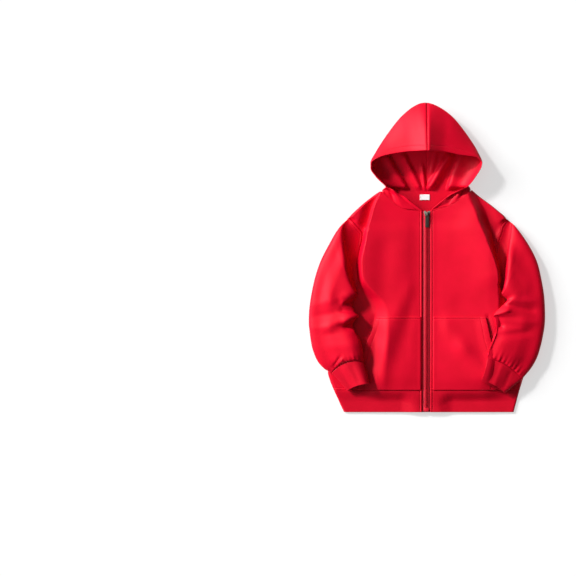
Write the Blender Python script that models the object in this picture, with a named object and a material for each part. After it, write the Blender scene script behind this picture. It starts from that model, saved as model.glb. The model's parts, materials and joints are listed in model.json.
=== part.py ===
"""Child's zip hoodie lying flat on its back.

Millimetres in the tables, metres in the model.  X runs across, Y up to the hood, Z up off the table.
`out` is the distance from the zip line to either side, `up` is Y, and the origin is on the table under
the middle of the garment.  `_l` lies at -X and `_r` at +X.
"""
import math
from dataclasses import dataclass

import bmesh
import bpy
import numpy as np
from mathutils import Vector

MM = 0.001
FLEECE = 2.0          # wall of the body cloth
RIB = 2.2             # wall of the doubled rib
POCKET = 1.8
GAP = 0.15            # each piece keeps this far inside its seam line
HEM_TOP, HEM_END = -315.9, -367.9
ZIP_TOP = 111.7       # where the zip meets the neck seam
ARM_STEPS = 10        # cells along each armhole
HIP_STEPS = 7         # rows from the hem seam to the underarm
SHOULDER_STEPS = 4


# ---------------------------------------------------------------- curves
def table(rows):
    """Columns of a table as arrays."""
    return [np.array(c, float) for c in zip(*rows)]


def along(xs, ys, x):
    """Monotone cubic through (xs, ys): it never overshoots a row."""
    xs, ys = np.asarray(xs, float), np.asarray(ys, float)
    order = np.argsort(xs)
    xs, ys = xs[order], ys[order]
    h, d = np.diff(xs), np.diff(ys) / np.diff(xs)
    m = np.zeros_like(ys)
    m[0], m[-1] = d[0], d[-1]
    for i in range(1, len(xs) - 1):
        if d[i - 1] * d[i] > 0:
            a, b = 2 * h[i] + h[i - 1], h[i] + 2 * h[i - 1]
            m[i] = (a + b) / (a / d[i - 1] + b / d[i])
    x = np.clip(np.asarray(x, float), xs[0], xs[-1])
    i = np.clip(np.searchsorted(xs, x) - 1, 0, len(xs) - 2)
    t = (x - xs[i]) / h[i]
    return ((1 + 2 * t) * (1 - t) ** 2 * ys[i] + t * (1 - t) ** 2 * h[i] * m[i]
            + t * t * (3 - 2 * t) * ys[i + 1] + t * t * (t - 1) * h[i] * m[i + 1])


def path(points, f):
    """Points at fractions f of a smooth line's length through the given points."""
    p = np.asarray(points, float)
    k = np.arange(len(p))
    fine = np.linspace(0, len(p) - 1, 12 * (len(p) - 1) + 1)
    q = np.stack([along(k, p[:, c], fine) for c in range(p.shape[1])], 1)
    s = np.concatenate([[0], np.cumsum(np.linalg.norm(np.diff(q, axis=0), axis=1))])
    f = np.asarray(f, float) * s[-1]
    return np.stack([np.interp(f, s, q[:, c]) for c in range(p.shape[1])], -1)


def ease(t):
    t = np.clip(t, 0, 1)
    return t * t * (3 - 2 * t)


def refine(n, k):
    """Row numbers 0..n with k steps between each."""
    return np.linspace(0, n, n * k + 1)


# ---------------------------------------------------------------- the garment's own sizes
ARM_Z = ((0, 4.6), (.04, 5.2), (.1, 6.4), (.2, 7.4), (.35, 7.2), (.6, 6.2), (.85, 5.8), (1, 4.6))
PLATEAU = ((-368, 12), (-316, 16), (-285, 20), (-240, 23), (-140, 25), (0, 25.5), (60, 24),
           (92, 21), (132, 21), (160, 18))


@dataclass(frozen=True)
class Half:
    """One half of the garment: all points are (out, up) unless a header says more."""
    tag: str
    sign: int
    zip_edge: float          # folded front edge to the zip line
    side: tuple              # side seam, hem to underarm
    hem_out: float           # half width at the bottom of the rib
    arm_front: tuple         # armhole of the front, shoulder to underarm
    arm_back: tuple
    shoulder: tuple          # shoulder point to neck
    neck: tuple              # neck seam on the front, zip to shoulder
    fold: tuple              # foot of the step beside the sleeve: up, foot, width, height outside
    drapes: tuple            # soft folds of the front: out, up, out, up, half width, height
    rings: tuple             # sleeve: outer x y, inner x y, bow over, bow under, 3 heights on top
    cuff: tuple              # the same for the cuff
    pocket: tuple            # opening edge
    pocket_top: float
    hood: tuple              # rim xyz, knee xyz, side xyz, foot xy, centre y


LEFT = Half(
    tag="l", sign=-1, zip_edge=11.5,
    side=((220.9, -315.9), (229.9, -293.6), (235.4, -272.9), (233.7, -254.0), (228.0, -229.4),
          (222.5, -200.9), (215.5, -167.7), (207.0, -139.2), (195.5, -112.0), (182.0, -93.0),
          (166.2, -82.2)),
    hem_out=197.1,
    arm_front=((185.2, 95.2), (176.9, 86.4), (168.6, 76.9), (159.1, 66.3), (152.8, 56.8),
               (154.4, 41.3), (160.3, 17.6), (165.4, -10.9), (165.0, -32.3), (163.4, -53.7),
               (164.4, -67.9), (166.2, -82.2)),
    arm_back=((185.2, 95.2), (181.7, 53.2), (176.9, 5.7), (171.0, -41.8), (166.2, -82.2)),
    shoulder=((185.2, 95.2), (178.1, 103.1), (163.9, 116.6), (149.6, 129.2), (135.4, 140.4),
              (121.1, 151.0), (110.4, 158.2)),
    neck=((11.5, 111.7), (19.0, 111.9), (35.6, 112.6), (49.9, 114.5), (64.1, 119.2),
          (76.0, 126.8), (87.9, 136.3), (97.4, 145.8), (109.7, 157.0)),
    fold=((160, 114.0, 14, 12), (150.6, 116.4, 14, 12), (133.9, 124.7, 15, 11),
          (114.9, 131.8, 16, 10), (100.7, 135.4, 17, 9), (76.9, 142.5, 18, 8.4),
          (55.6, 149.6, 19, 7.8), (34.2, 156.8, 20, 7.4), (12.8, 162.7, 20, 7),
          (-6.2, 167.0, 20, 6.6), (-20.4, 168.0, 20, 6.4), (-32.3, 166.2, 20, 6.4),
          (-51.3, 161.5, 22, 6.6), (-68, 158, 26, 7), (-90, 158, 34, 8), (-115, 162, 45, 10),
          (-145, 162, 52, 11), (-175, 160, 55, 11.5), (-205, 155, 55, 12), (-240, 152, 55, 12),
          (-275, 150, 52, 12), (-316, 150, 50, 11.5), (-368, 150, 50, 11)),
    drapes=((74, -88, 96, -178, 24, 3.5), (96, -178, 116, -262, 22, 3.0),
            (99, 20, 112, -128, 26, -2.6), (60, 60, 70, -30, 34, 1.5)),
    rings=((191.2, 89.3, 167.9, -80.3, 10.7, 4.8, 7, 9, 12),
           (205.4, 74.6, 168.6, -82.2, 13.1, 3.6, 15, 26, 20),
           (231.6, 33.0, 167.2, -86.0, 2.4, 0, 22, 33, 26),
           (250.6, -3.8, 165.8, -90.2, 0, 0, 26, 36, 28),
           (264.3, -41.8, 172.2, -97.9, 0, 0, 28, 36, 24),
           (273.6, -82.2, 191.2, -109.5, 0, 0, 28, 34, 20),
           (278.9, -115.4, 175.8, -128.5, 0, 0, 28, 32, 25),
           (280.5, -136.8, 162.7, -139.9, 0, 0, 28, 34, 31),
           (280.7, -158.2, 174.6, -149.4, 0, 0, 28, 37, 28),
           (279.0, -174.8, 188.8, -160.6, 0, 0, 28, 37, 23),
           (276.2, -196.2, 175.8, -175.5, 0, 0, 28, 36, 29),
           (271.2, -219.9, 157.9, -198.6, 0, 0, 29, 38, 35),
           (260.1, -246.1, 152.0, -224.7, 0, 0, 29, 40, 39),
           (244.6, -263.9, 151.3, -238.9, -5.9, 0, 29, 41, 38),
           (226.8, -274.1, 150.6, -247.5, -11.9, -2.4, 25, 34, 31)),
    cuff=((225.6, -274.9, 150.4, -248.6, -11.9, -2.4, 24, 33, 30),
          (206.0, -296.5, 142.8, -274.0, -7.0, -1.0, 24, 32, 29),
          (189.3, -318.0, 135.4, -300.7, -5.0, 0, 23, 30, 28)),
    pocket=((119.9, -141.6), (125.9, -160.6), (133.0, -179.6), (142.5, -200.9), (149.6, -217.6),
            (156.8, -234.2), (161.5, -253.2), (163.9, -281.7), (163.9, -315.2)),
    pocket_top=-141.6,
    hood=((11.5, 111.9, 18, 75.5, 106.9, 22, 106.9, 158.9, 9, 83.1, 155.3, 155.3),
          (54.6, 143.4, 28, 83.1, 154.1, 28, 103.3, 162.9, 19, 71.2, 161.3, 164.8),
          (97.4, 168.4, 36, 97.6, 168.0, 35, 98.6, 167.2, 29, 54.6, 171.9, 179.1),
          (121.1, 190.9, 42, 121.5, 190.9, 40, 121.9, 190.5, 35, 61.8, 200.4, 202.8),
          (133.5, 209.9, 46, 134.2, 210.2, 44, 134.9, 211.1, 39, 78.4, 221.8, 228.9),
          (133.2, 223.7, 50, 134.1, 224.2, 47, 134.9, 224.8, 41, 87.9, 243.2, 259.8),
          (111.6, 238.4, 54, 117.6, 245.6, 50, 121.1, 251.5, 36, 97.4, 264.6, 283.6),
          (76.0, 246.8, 64, 90.2, 271.7, 52, 97.4, 288.3, 30, 80.8, 290.7, 312.1),
          (40.4, 251.3, 75, 53.4, 307.3, 56, 59.4, 335.8, 28, 49.9, 328.7, 338.2),
          (0.0, 252.7, 85, 0.0, 331.1, 60, 0.0, 367.9, 27, 0.0, 357.2, 352.4)),
)
RIGHT = Half(
    tag="r", sign=1, zip_edge=8.0,
    side=((220.4, -315.9), (227.3, -293.6), (231.6, -276.9), (230.6, -256.0), (225.6, -229.4),
          (219.3, -200.9), (213.5, -167.7), (207.0, -139.2), (199.5, -112.0), (190.5, -94.0),
          (176.9, -82.2)),
    hem_out=206.6,
    arm_front=((190.0, 91.2), (183.0, 82.9), (177.0, 73.4), (173.4, 60.3), (166.6, 41.3),
               (162.6, 24.7), (167.4, 0.9), (174.6, -18.1), (179.3, -32.3), (180.2, -51.3),
               (178.6, -67.9), (176.9, -82.2)),
    arm_back=((190.0, 91.2), (187.4, 53.2), (183.6, 5.7), (179.6, -41.8), (176.9, -82.2)),
    shoulder=((190.0, 91.2), (184.6, 98.4), (173.4, 107.8), (154.4, 123.3), (137.8, 135.6),
              (121.1, 148.2), (105.7, 161.7)),
    neck=((8.0, 111.9), (14.2, 113.4), (26.1, 116.6), (42.8, 120.2), (59.4, 126.8),
          (78.4, 137.5), (92.6, 147.0), (105.7, 160.8)),
    fold=((162, 108.0, 15, 12), (155.3, 111.6, 16, 12), (137, 118, 17, 11),
          (119.7, 125.9, 18, 10), (84.1, 142.5, 20, 8.4), (57.9, 152.0, 20, 7.6),
          (36.6, 159.1, 20, 7.2), (18, 164.4, 20, 7), (3.3, 169.0, 20, 6.8),
          (-15, 175.0, 20, 6.6), (-32.3, 179.5, 20, 6.4), (-50, 179, 22, 6.6),
          (-68, 176, 26, 7), (-90, 172, 32, 8), (-115, 168, 40, 10), (-145, 163, 44, 11),
          (-175, 160, 46, 11.5), (-205, 152, 46, 12), (-240, 146, 46, 12), (-275, 144, 46, 12),
          (-316, 148, 44, 11.5), (-368, 150, 44, 11)),
    drapes=((46, -166, 86, -216, 21, 3.5), (86, -216, 130, -270, 19, 4.0),
            (118, 44, 146, -60, 20, 1.6), (84, -112, 128, -132, 22, -2.0)),
    rings=((201.9, 81.7, 180.2, -79.4, 9.5, 4.8, 7, 9, 12),
           (211.4, 72.2, 179.4, -81.6, 10.7, 3.6, 14, 26, 20),
           (230.4, 47.3, 178.2, -84.4, 2.4, 0, 22, 33, 26),
           (249.4, 16.4, 177.2, -87.4, 0, 0, 26, 36, 28),
           (263.2, -14.5, 181.7, -92.9, 0, 0, 28, 35, 24),
           (272.5, -53.7, 190.0, -101.7, 0, 0, 28, 33, 20),
           (278.3, -89.3, 175.8, -116.6, 0, 0, 28, 32, 24),
           (280.4, -120.2, 157.9, -135.9, 0, 0, 28, 33, 28),
           (280.7, -143.9, 162.0, -145.1, 0, 0, 28, 35, 25),
           (279.3, -165.3, 163.9, -159.4, 0, 0, 28, 35, 20),
           (275.6, -186.7, 162.9, -174.8, 0, 0, 28, 34, 26),
           (270.4, -210.4, 155.8, -193.8, 0, 0, 28, 36, 33),
           (261.2, -238.9, 146.3, -219.9, 0, 0, 29, 38, 37),
           (247.0, -263.9, 143.4, -232.3, -3.6, 0, 29, 39, 36),
           (225.6, -288.8, 143.0, -238.5, -8.3, -2.4, 25, 33, 31)),
    cuff=((224.3, -289.9, 142.8, -239.7, -8.3, -2.4, 24, 32, 30),
          (205.0, -306.2, 137.0, -266.0, -5.0, 0, 24, 31, 29),
          (185.5, -322.0, 128.4, -291.0, -3.5, 1.0, 23, 30, 28)),
    pocket=((138.9, -139.2), (142.5, -155.8), (147.2, -177.2), (150.8, -193.8), (155.6, -210.4),
            (161.5, -229.4), (166.2, -248.4), (168.6, -281.7), (168.6, -315.2)),
    pocket_top=-139.2,
    hood=((8.0, 112.1, 18, 59.4, 115.9, 22, 104.5, 160.1, 9, 83.1, 156.0, 155.3),
          (49.9, 144.6, 28, 78.4, 156.5, 28, 102.1, 165.8, 19, 66.5, 162.4, 164.8),
          (97.4, 169.1, 36, 97.6, 169.1, 35, 98.4, 168.9, 29, 54.6, 171.9, 179.1),
          (116.4, 193.3, 42, 116.7, 193.3, 40, 117.0, 193.1, 35, 59.4, 200.4, 202.8),
          (128.2, 214.7, 46, 128.8, 214.7, 44, 129.3, 214.9, 39, 68.9, 221.8, 228.9),
          (129.7, 224.7, 50, 130.3, 225.0, 47, 130.9, 225.6, 41, 78.4, 243.2, 259.8),
          (114.0, 238.4, 54, 117.6, 245.6, 50, 119.9, 251.5, 36, 95.0, 264.6, 283.6),
          (80.8, 242.5, 64, 90.2, 269.3, 52, 96.2, 288.3, 30, 78.4, 290.7, 312.1),
          (40.4, 250.3, 75, 51.1, 307.3, 56, 58.9, 335.8, 28, 47.5, 328.7, 338.2),
          (0.0, 252.7, 85, 0.0, 331.1, 60, 0.0, 367.9, 27, 0.0, 357.2, 352.4)),
)
# row stations: heights of the hip rows, fractions of the neck seam, and where the rows meet the zip
HIP_UPS = (-315.7, -282, -247, -212, -177, -141, -111, -82.2)
ARM_INNER = (-82.2, -76, -60, -32, 4, 44, 84)          # then the neck seam
NECK_AT = (0, .18, .33, .45, .60, .74, .86, .95)
SHOULDER_AT = (.25, .5, .75, .985)
# folds on the inside of the hood's back: x, y at the wide end, x, y at the neck, half width, height
HOOD_FOLDS = ((-40, 212, -21, 163, 12, 9), (-7, 222, -9, 163, 8, 6), (40, 226, 26, 190, 13, 9),
              (26, 190, 3, 160, 8, 7), (-66, 226, -44, 178, 14, 5), (72, 214, 52, 176, 14, 5))


def plan(points, key):
    """out at a height `key` along a table of (out, up)."""
    out, up = table(points)
    return along(up, out, key)


# ---------------------------------------------------------------- the front and what lies on it
def drape(rows, out, up):
    """Soft folds: each is a ridge between two points that fades at its ends."""
    z = np.zeros(np.broadcast(out, up).shape)
    for x0, y0, x1, y1, wide, high in rows:
        dx, dy = x1 - x0, y1 - y0
        long = math.hypot(dx, dy)
        t = ((out - x0) * dx + (up - y0) * dy) / long ** 2
        away = ((out - x0) * dy - (up - y0) * dx) / long
        past = np.maximum(np.maximum(-t, t - 1), 0) * long
        z = z + high * np.exp(-(away / wide) ** 2 - (past / (1.3 * wide)) ** 2)
    return z


def front_top(half, out, up):
    """Height of the front's face, before its edges turn down."""
    out, up = np.asarray(out, float), np.asarray(up, float)
    ups, foots, widths, lows = table(half.fold)
    foot, wide, low = (along(ups, c, up) for c in (foots, widths, lows))
    near_zip = ease((out - 20) / 30)
    high = along(*table(PLATEAU), up) + drape(half.drapes, out, up) * near_zip
    t = np.clip((foot - out) / wide, 0, 1)
    rise = 2.5 * ease((out - foot) / 34) * ease((up - 60) / 40)
    return low + rise + (high - low) * (.65 * np.sin(t * math.pi / 2) + .35 * ease(t))


def front_rows(half, k):
    """For each row of the front: its ends, its height at the outer edge, the turn of that edge."""
    rows = []
    arm_f = (1 - np.cos(np.linspace(0, math.pi, ARM_STEPS + 1))) / 2
    last = HIP_STEPS + ARM_STEPS
    n = last + SHOULDER_STEPS
    neck_first = HIP_STEPS + len(ARM_INNER)
    for i in refine(n, k):
        if i <= HIP_STEPS:
            up = np.interp(i, range(HIP_STEPS + 1), HIP_UPS)
            outer = np.array([plan(half.side, up), up])
            edge, turn, soft = 2.7, 1.0, 8.0
            if i > HIP_STEPS - 1:
                w = i - HIP_STEPS + 1
                edge, turn, soft = 2.7 + 1.9 * w, 1 - .5 * w, 8.0
        elif i <= last:
            f = np.interp(last - i, range(ARM_STEPS + 1), arm_f)
            outer = path(half.arm_front, f)
            edge = along(*table(ARM_Z), f)
            w = min(1, (i - HIP_STEPS) / 2, (last - i) / 1.5)
            turn, soft = .5 * (1 - w), 8 + 4 * w
        else:
            f = np.interp(i - last, range(SHOULDER_STEPS + 1), (0,) + SHOULDER_AT)
            outer = path(half.shoulder, f)
            w = min(1, i - last)
            edge, turn, soft = 4.6 - 1.9 * w, .5 + .5 * w, 8.0
        if i < neck_first:
            if i <= HIP_STEPS:
                inner_up = outer[1]
            else:
                inner_up = np.interp(i - HIP_STEPS, range(len(ARM_INNER) + 1),
                                     ARM_INNER + (ZIP_TOP,))
            inner = np.array([half.zip_edge, inner_up])
        else:
            inner = path(half.neck, np.interp(i - neck_first, range(len(NECK_AT)), NECK_AT))
        rows.append((inner, outer, edge, turn, soft))
    return rows


FLAT_CELLS, FOLD_CELLS, SIDE_CELLS, TURN_CELLS = 6, 3, 2, 2


def fold_span(half, inner, outer, soft):
    """Distances along a row where the fold starts, where it ends and where the edge turns down."""
    wide = np.linalg.norm(outer - inner)
    ups, foots, widths, _ = table(half.fold)
    d = np.linspace(0, wide, 121)
    xy = inner + (outer - inner) * (d / wide)[:, None]
    foot, span = along(ups, foots, xy[:, 1]), along(ups, widths, xy[:, 1])
    end = float(np.interp(0, xy[:, 0] - foot, d))
    start = float(np.interp(0, xy[:, 0] - foot + span, d))
    turn = wide - soft
    end = min(end, turn - .12 * wide if wide < 60 else turn - 3)
    start = min(start, end - .2 * min(wide, 60))
    start = max(start, .35 * wide if wide < 60 else 20)
    return start, max(end, start + .1 * wide if wide < 60 else start + 6), turn


def front_grid(half, k):
    """Points of the front's face (rows x columns x 3) in out, up, z and its edge normals."""
    grid, lean = [], []
    for inner, outer, edge, turn, soft in front_rows(half, k):
        wide = np.linalg.norm(outer - inner)
        soft = min(soft, .3 * wide)
        start, end, last = fold_span(half, inner, outer, soft)
        d = np.concatenate([
            np.linspace(0, start, FLAT_CELLS * k + 1),
            np.linspace(start, end, FOLD_CELLS * k + 1)[1:],
            np.linspace(end, last, SIDE_CELLS * k + 1)[1:],
            np.sin(np.linspace(0, math.pi / 2, TURN_CELLS * k + 1)[1:]) * soft + last])
        xy = inner + (outer - inner) * (d / wide)[:, None]
        top = front_top(half, xy[:, 0], xy[:, 1])
        s = np.clip((wide - d) / soft, 0, 1)
        hard = np.sqrt(np.clip(1 - (1 - s) ** 2, 0, 1))
        mild = np.sin(s * math.pi / 2)
        z = edge + (top - edge) * (turn * hard + (1 - turn) * mild)
        grid.append(np.column_stack([xy, z]))
        away = (outer - inner) / wide
        lean.append(np.array([away[0] * turn, away[1] * turn, 1 - turn + 1e-3]))
    return np.array(grid), np.array(lean)


def clear_of_body(half, out, up):
    """Lowest height for cloth lying over the body's edge; 0 well outside it."""
    out, up = np.asarray(out, float), np.asarray(up, float)
    seam = plan(half.side, np.clip(up, HEM_TOP, -82.2))
    band = half.side[0][0] + (half.hem_out - half.side[0][0]) * np.clip(
        (HEM_TOP - up) / (HEM_TOP - HEM_END), 0, 1)
    arm = np.maximum(plan(half.arm_back, up), plan(half.arm_front, np.clip(up, -82, 90)))
    edge = np.where(up < HEM_TOP, band, np.where(up > -82.2, arm, seam))
    opening = plan(half.pocket, np.clip(up, -315.2, half.pocket_top))
    pocket = (POCKET + 3.2) * ease((opening + 12 - out) / 9) * ease((half.pocket_top + 10 - up) / 8)
    return (front_top(half, out, up) + pocket + 1.3) * ease((edge - out + 15) / 12.5)


# ---------------------------------------------------------------- tubes: sleeve and cuff
def ring(half, row, f, weight, top=True):
    """Points across a tube at fractions f from its outer to its inner side."""
    ox, oy, ix, iy, bow_over, bow_under, z1, z2, z3 = row
    a, b = np.array([ox, oy]), np.array([ix, iy])
    e = (b - a) / np.linalg.norm(b - a)
    n = np.array([-e[1], e[0]])
    bow = bow_over if top else bow_under
    xy = a + (b - a) * f[:, None] + n * (bow * 4 * f * (1 - f))[:, None]
    full = np.sqrt(np.clip(1 - np.abs(2 * f - 1) ** 3.4, 0, 1))
    low_out, low_in = (clear_of_body(half, *p) * weight for p in (a, b))
    side = (low_out + .46 * (z1 - low_out)) * (1 - f) + (low_in + .42 * (z3 - low_in)) * f
    if top:
        z = along((0, .2, .5, .8, 1), (z1 * .85, z1, z2, z3, z3 * .92), f)
    else:
        z = clear_of_body(half, xy[:, 0], xy[:, 1]) * weight
    z = side + (z - side) * full
    z = np.maximum(z, clear_of_body(half, xy[:, 0], xy[:, 1]) * weight + (1.0 if top else 0))
    return np.column_stack([xy, z])


def sleeve_grid(half, k):
    """Sleeve rings from the armhole to the cuff seam, each closed: over the top, back under."""
    n = ARM_STEPS * k
    f = (1 - np.cos(np.linspace(0, math.pi, n + 1))) / 2
    over = path(half.arm_front, f)
    under = path(half.arm_back, f)
    z_over = along(*table(ARM_Z), f)
    first = np.column_stack([over, z_over])
    first[0, 2] = first[-1, 2] = 3.4
    first[0, :2] += (.5, .3)
    first[-1, :2] += (1.0, .3)
    back = np.column_stack([under, np.zeros(n + 1)])[1:-1][::-1]
    stations = [np.vstack([first, back])]
    rows = len(half.rings)
    for j, row in enumerate(half.rings):
        weight = (0, .25, .75, 1)[min(j, 3)]
        top = ring(half, row, f, weight, True)
        bottom = ring(half, row, f, weight, False)[1:-1][::-1]
        stations.append(np.vstack([top, bottom]))
    return blend_rows(np.array(stations), refine(rows, k))


def blend_rows(stations, at):
    """Smooth rows between stations, column by column."""
    m = len(stations)
    if len(at) == m:
        return stations
    flat = stations.reshape(m, -1)
    pad = np.vstack([2 * flat[0] - flat[1], flat, 2 * flat[-1] - flat[-2]])
    i = np.clip(np.floor(at).astype(int), 0, m - 2)
    t = (at - i)[:, None]
    p0, p1, p2, p3 = pad[i], pad[i + 1], pad[i + 2], pad[i + 3]
    out = .5 * (2 * p1 + (p2 - p0) * t + (2 * p0 - 5 * p1 + 4 * p2 - p3) * t ** 2
                + (3 * p1 - p0 - 3 * p2 + p3) * t ** 3)
    return out.reshape((len(at),) + stations.shape[1:])


def cuff_grid(half, k):
    n = ARM_STEPS * k
    f = (1 - np.cos(np.linspace(0, math.pi, n + 1))) / 2
    stations = []
    for row in half.cuff:
        top, under = ring(half, row, f, 1, True), ring(half, row, f, 1, False)
        stations.append(np.vstack([top, under[1:-1][::-1]]))
    return blend_rows(np.array(stations), refine(len(half.cuff) - 1, 2 * k))


# ---------------------------------------------------------------- hood
HOOD_STATIONS = (0, .5, 1, 1.5, 2, 3, 4, 5, 5.5, 6, 6.5, 7, 7.5, 8, 8.35, 8.7, 9)
RIM_PART, CURL_PART, BACK_PART = len(NECK_AT), 3, 3


def hood_grid(half, k):
    """One half of the hood: each row runs rim, side, under, along the back to the middle seam."""
    cols = table(half.hood)
    steps = refine(len(HOOD_STATIONS) - 1, k)
    at = np.interp(steps, range(len(HOOD_STATIONS)), HOOD_STATIONS)
    v = [along(range(len(half.hood)), c, at) for c in cols]
    t = np.interp(refine(RIM_PART, k), range(RIM_PART + 1), NECK_AT + (1,))
    turn = np.linspace(0, math.pi / 2, CURL_PART * k + 1)[1:]
    back = np.linspace(0, 1, BACK_PART * k + 1)[1:]
    neck = path(half.neck, t)
    neck = np.column_stack([neck, front_top(half, neck[:, 0], neck[:, 1])])
    neck[t > .95] = 0
    grid = []
    for i, s in enumerate(at):
        rim, knee, side = (np.array([v[j][i] for j in r]) for r in ((0, 1, 2), (3, 4, 5), (6, 7, 8)))
        foot = np.array([v[9][i], v[10][i], 0.0])
        middle = np.array([0.0, v[11][i], 0.0])
        bend = (((1 - t) ** 2)[:, None] * rim + (2 * t * (1 - t))[:, None] * knee
                + (t ** 2)[:, None] * side)
        if s < 1:
            hold = neck[t <= .95]
            base = hood_bend(half.hood[0], t[t <= .95])
            bend[t <= .95] += (hold - base) * (1 - s) ** 1.5
        curl = foot + (side - foot) * np.cos(turn)[:, None] * np.array([1, 1, 0])
        curl[:, 2] = side[2] * (1 - np.sin(turn))
        chord = side + (foot - side) * (turn / (math.pi / 2))[:, None]
        curl = curl * .55 + chord * .45
        flat = foot + (middle - foot) * back[:, None]
        grid.append(np.vstack([bend, curl, flat]))
    grid = np.array(grid)
    x = half.sign * grid[..., 0]
    y = grid[..., 1]
    fade = ease((y - 157) / 14)
    lift = drape(HOOD_FOLDS, x, y) * fade
    part = np.zeros(grid.shape[1])
    part[RIM_PART * k + 1:] = 1
    part[RIM_PART * k:(RIM_PART + CURL_PART) * k + 1] = np.linspace(0, 1, CURL_PART * k + 1)
    grid[..., 2] += lift * part * (grid[..., 2] < 30)
    return grid


def hood_bend(row, t):
    rim, knee, side = np.array(row[0:3]), np.array(row[3:6]), np.array(row[6:9])
    return (((1 - t) ** 2)[:, None] * rim + (2 * t * (1 - t))[:, None] * knee
            + (t ** 2)[:, None] * side)


# ---------------------------------------------------------------- solids from grids
def normals(grid, closed):
    """Unit normals of a grid of points, rows x columns."""
    if closed:
        around = np.roll(grid, -1, 1) - np.roll(grid, 1, 1)
    else:
        around = np.gradient(grid, axis=1)
    down = np.gradient(grid, axis=0)
    n = np.cross(around, down)
    return n / np.maximum(np.linalg.norm(n, axis=-1, keepdims=True), 1e-9)


def inset(grid, sides, by):
    """Pull the named edges of a grid back from its seams."""
    g = grid.copy()
    for name in sides:
        a, b = {"first": (0, 1), "last": (-1, -2), "inner": (0, 1), "outer": (-1, -2)}[name]
        if name in ("first", "last"):
            step = g[b] - g[a]
            g[a] += by * step / np.maximum(np.linalg.norm(step, axis=-1, keepdims=True), 1e-6)
        else:
            step = g[:, b] - g[:, a]
            g[:, a] += by * step / np.maximum(np.linalg.norm(step, axis=-1, keepdims=True), 1e-6)
    return g


def wall(grid, n, thick, closed=False):
    """Vertices and triangles of a sheet with its face on the grid and its back `thick` behind."""
    rows, cols = grid.shape[:2]
    verts = np.vstack([grid.reshape(-1, 3), (grid - n * thick).reshape(-1, 3)])
    back = rows * cols
    faces = []

    def quad(a, b, c, d, flip):
        for t in ((a, b, c), (a, c, d)):
            faces.append(t[::-1] if flip else t)

    span = cols if closed else cols - 1
    for i in range(rows - 1):
        for j in range(span):
            a, b = i * cols + j, i * cols + (j + 1) % cols
            c, d = b + cols, a + cols
            quad(a, b, c, d, False)
            quad(a + back, b + back, c + back, d + back, True)
    for j in range(span):
        a, b = j, (j + 1) % cols
        quad(a, b, b + back, a + back, True)
        a, b = (rows - 1) * cols + j, (rows - 1) * cols + (j + 1) % cols
        quad(a, b, b + back, a + back, False)
    if not closed:
        for i in range(rows - 1):
            a, b = i * cols, (i + 1) * cols
            quad(a, b, b + back, a + back, False)
            a, b = i * cols + cols - 1, (i + 1) * cols + cols - 1
            quad(a, b, b + back, a + back, True)
    return verts, faces


def place(half, grid):
    """out, up, z to x, y, z."""
    g = grid.copy()
    g[..., 0] *= half.sign
    return g


GARMENT = "zip_hoodie"                     # name of the collection
COLORS = {
    "fleece": (0.78, 0.012, 0.03), "rib": (0.66, 0.01, 0.028), "tape": (0.42, 0.01, 0.025),
    "metal": (0.11, 0.12, 0.11), "label": (0.85, 0.84, 0.82),
}


def finish(name, kind):
    """A plain material for one piece."""
    mat = bpy.data.materials.new(name)
    mat.use_nodes = True
    shader = mat.node_tree.nodes["Principled BSDF"]
    shader.inputs["Base Color"].default_value = COLORS[kind] + (1.0,)
    shader.inputs["Roughness"].default_value = 0.35 if kind == "metal" else 0.9
    shader.inputs["Metallic"].default_value = 1.0 if kind == "metal" else 0.0
    mat.diffuse_color = COLORS[kind] + (1.0,)
    return mat


def link(name, mesh, kind):
    """Put a mesh in the garment's collection under its node's name."""
    obj = bpy.data.objects.new(name, mesh)
    mesh.name = name
    mesh.materials.clear()
    mesh.materials.append(finish(name, kind))
    bpy.data.collections[GARMENT].objects.link(obj)
    return obj


def add(name, verts, faces, kind):
    """A piece from points in millimetres."""
    mesh = bpy.data.meshes.new(name)
    mesh.from_pydata([tuple(float(c) * MM for c in v) for v in verts], [],
                     [tuple(map(int, f)) for f in faces])
    mesh.validate()
    return link(name, mesh, kind)


def block(name, xs, ys, zs, kind):
    """A box between pairs of x, y and z in millimetres."""
    lows, highs = (Vector(c) * MM for c in zip(xs, ys, zs))
    bm = bmesh.new()
    bmesh.ops.create_cube(bm, size=1.0)
    bmesh.ops.scale(bm, vec=highs - lows, verts=bm.verts)
    mesh = bpy.data.meshes.new(name)
    bm.to_mesh(mesh)
    bm.free()
    obj = link(name, mesh, kind)
    obj.location = (lows + highs) / 2
    return obj


def plate(name, loops, thick, kind):
    """A flat plate: the first loop is its outline and the rest are holes, in millimetres."""
    curve = bpy.data.curves.new(name, "CURVE")
    curve.dimensions = "2D"
    curve.fill_mode = "BOTH"
    curve.extrude = thick / 2 * MM
    for loop in loops:
        line = curve.splines.new("POLY")
        line.points.add(len(loop) - 1)
        for point, (x, y) in zip(line.points, loop):
            point.co = (x * MM, y * MM, 0.0, 1.0)
        line.use_cyclic_u = True
    shape = bpy.data.objects.new(name, curve)
    bpy.data.collections[GARMENT].objects.link(shape)
    bpy.context.view_layer.update()
    mesh = bpy.data.meshes.new_from_object(shape.evaluated_get(bpy.context.evaluated_depsgraph_get()))
    bpy.data.objects.remove(shape)
    bpy.data.curves.remove(curve)
    bm = bmesh.new()
    bm.from_mesh(mesh)
    bmesh.ops.remove_doubles(bm, verts=bm.verts, dist=1e-6)
    bmesh.ops.recalc_face_normals(bm, faces=bm.faces)
    bm.to_mesh(mesh)
    bm.free()
    return link(name, mesh, kind)


def sheet(name, half, grid, n, thick, kind, closed=False):
    """Add a wall built in out, up, z; the normals point to its face."""
    g, m = place(half, grid), place(half, n)
    verts, faces = wall(g, m, thick, closed)
    add(name, verts, outward(verts, faces), kind)


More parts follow.
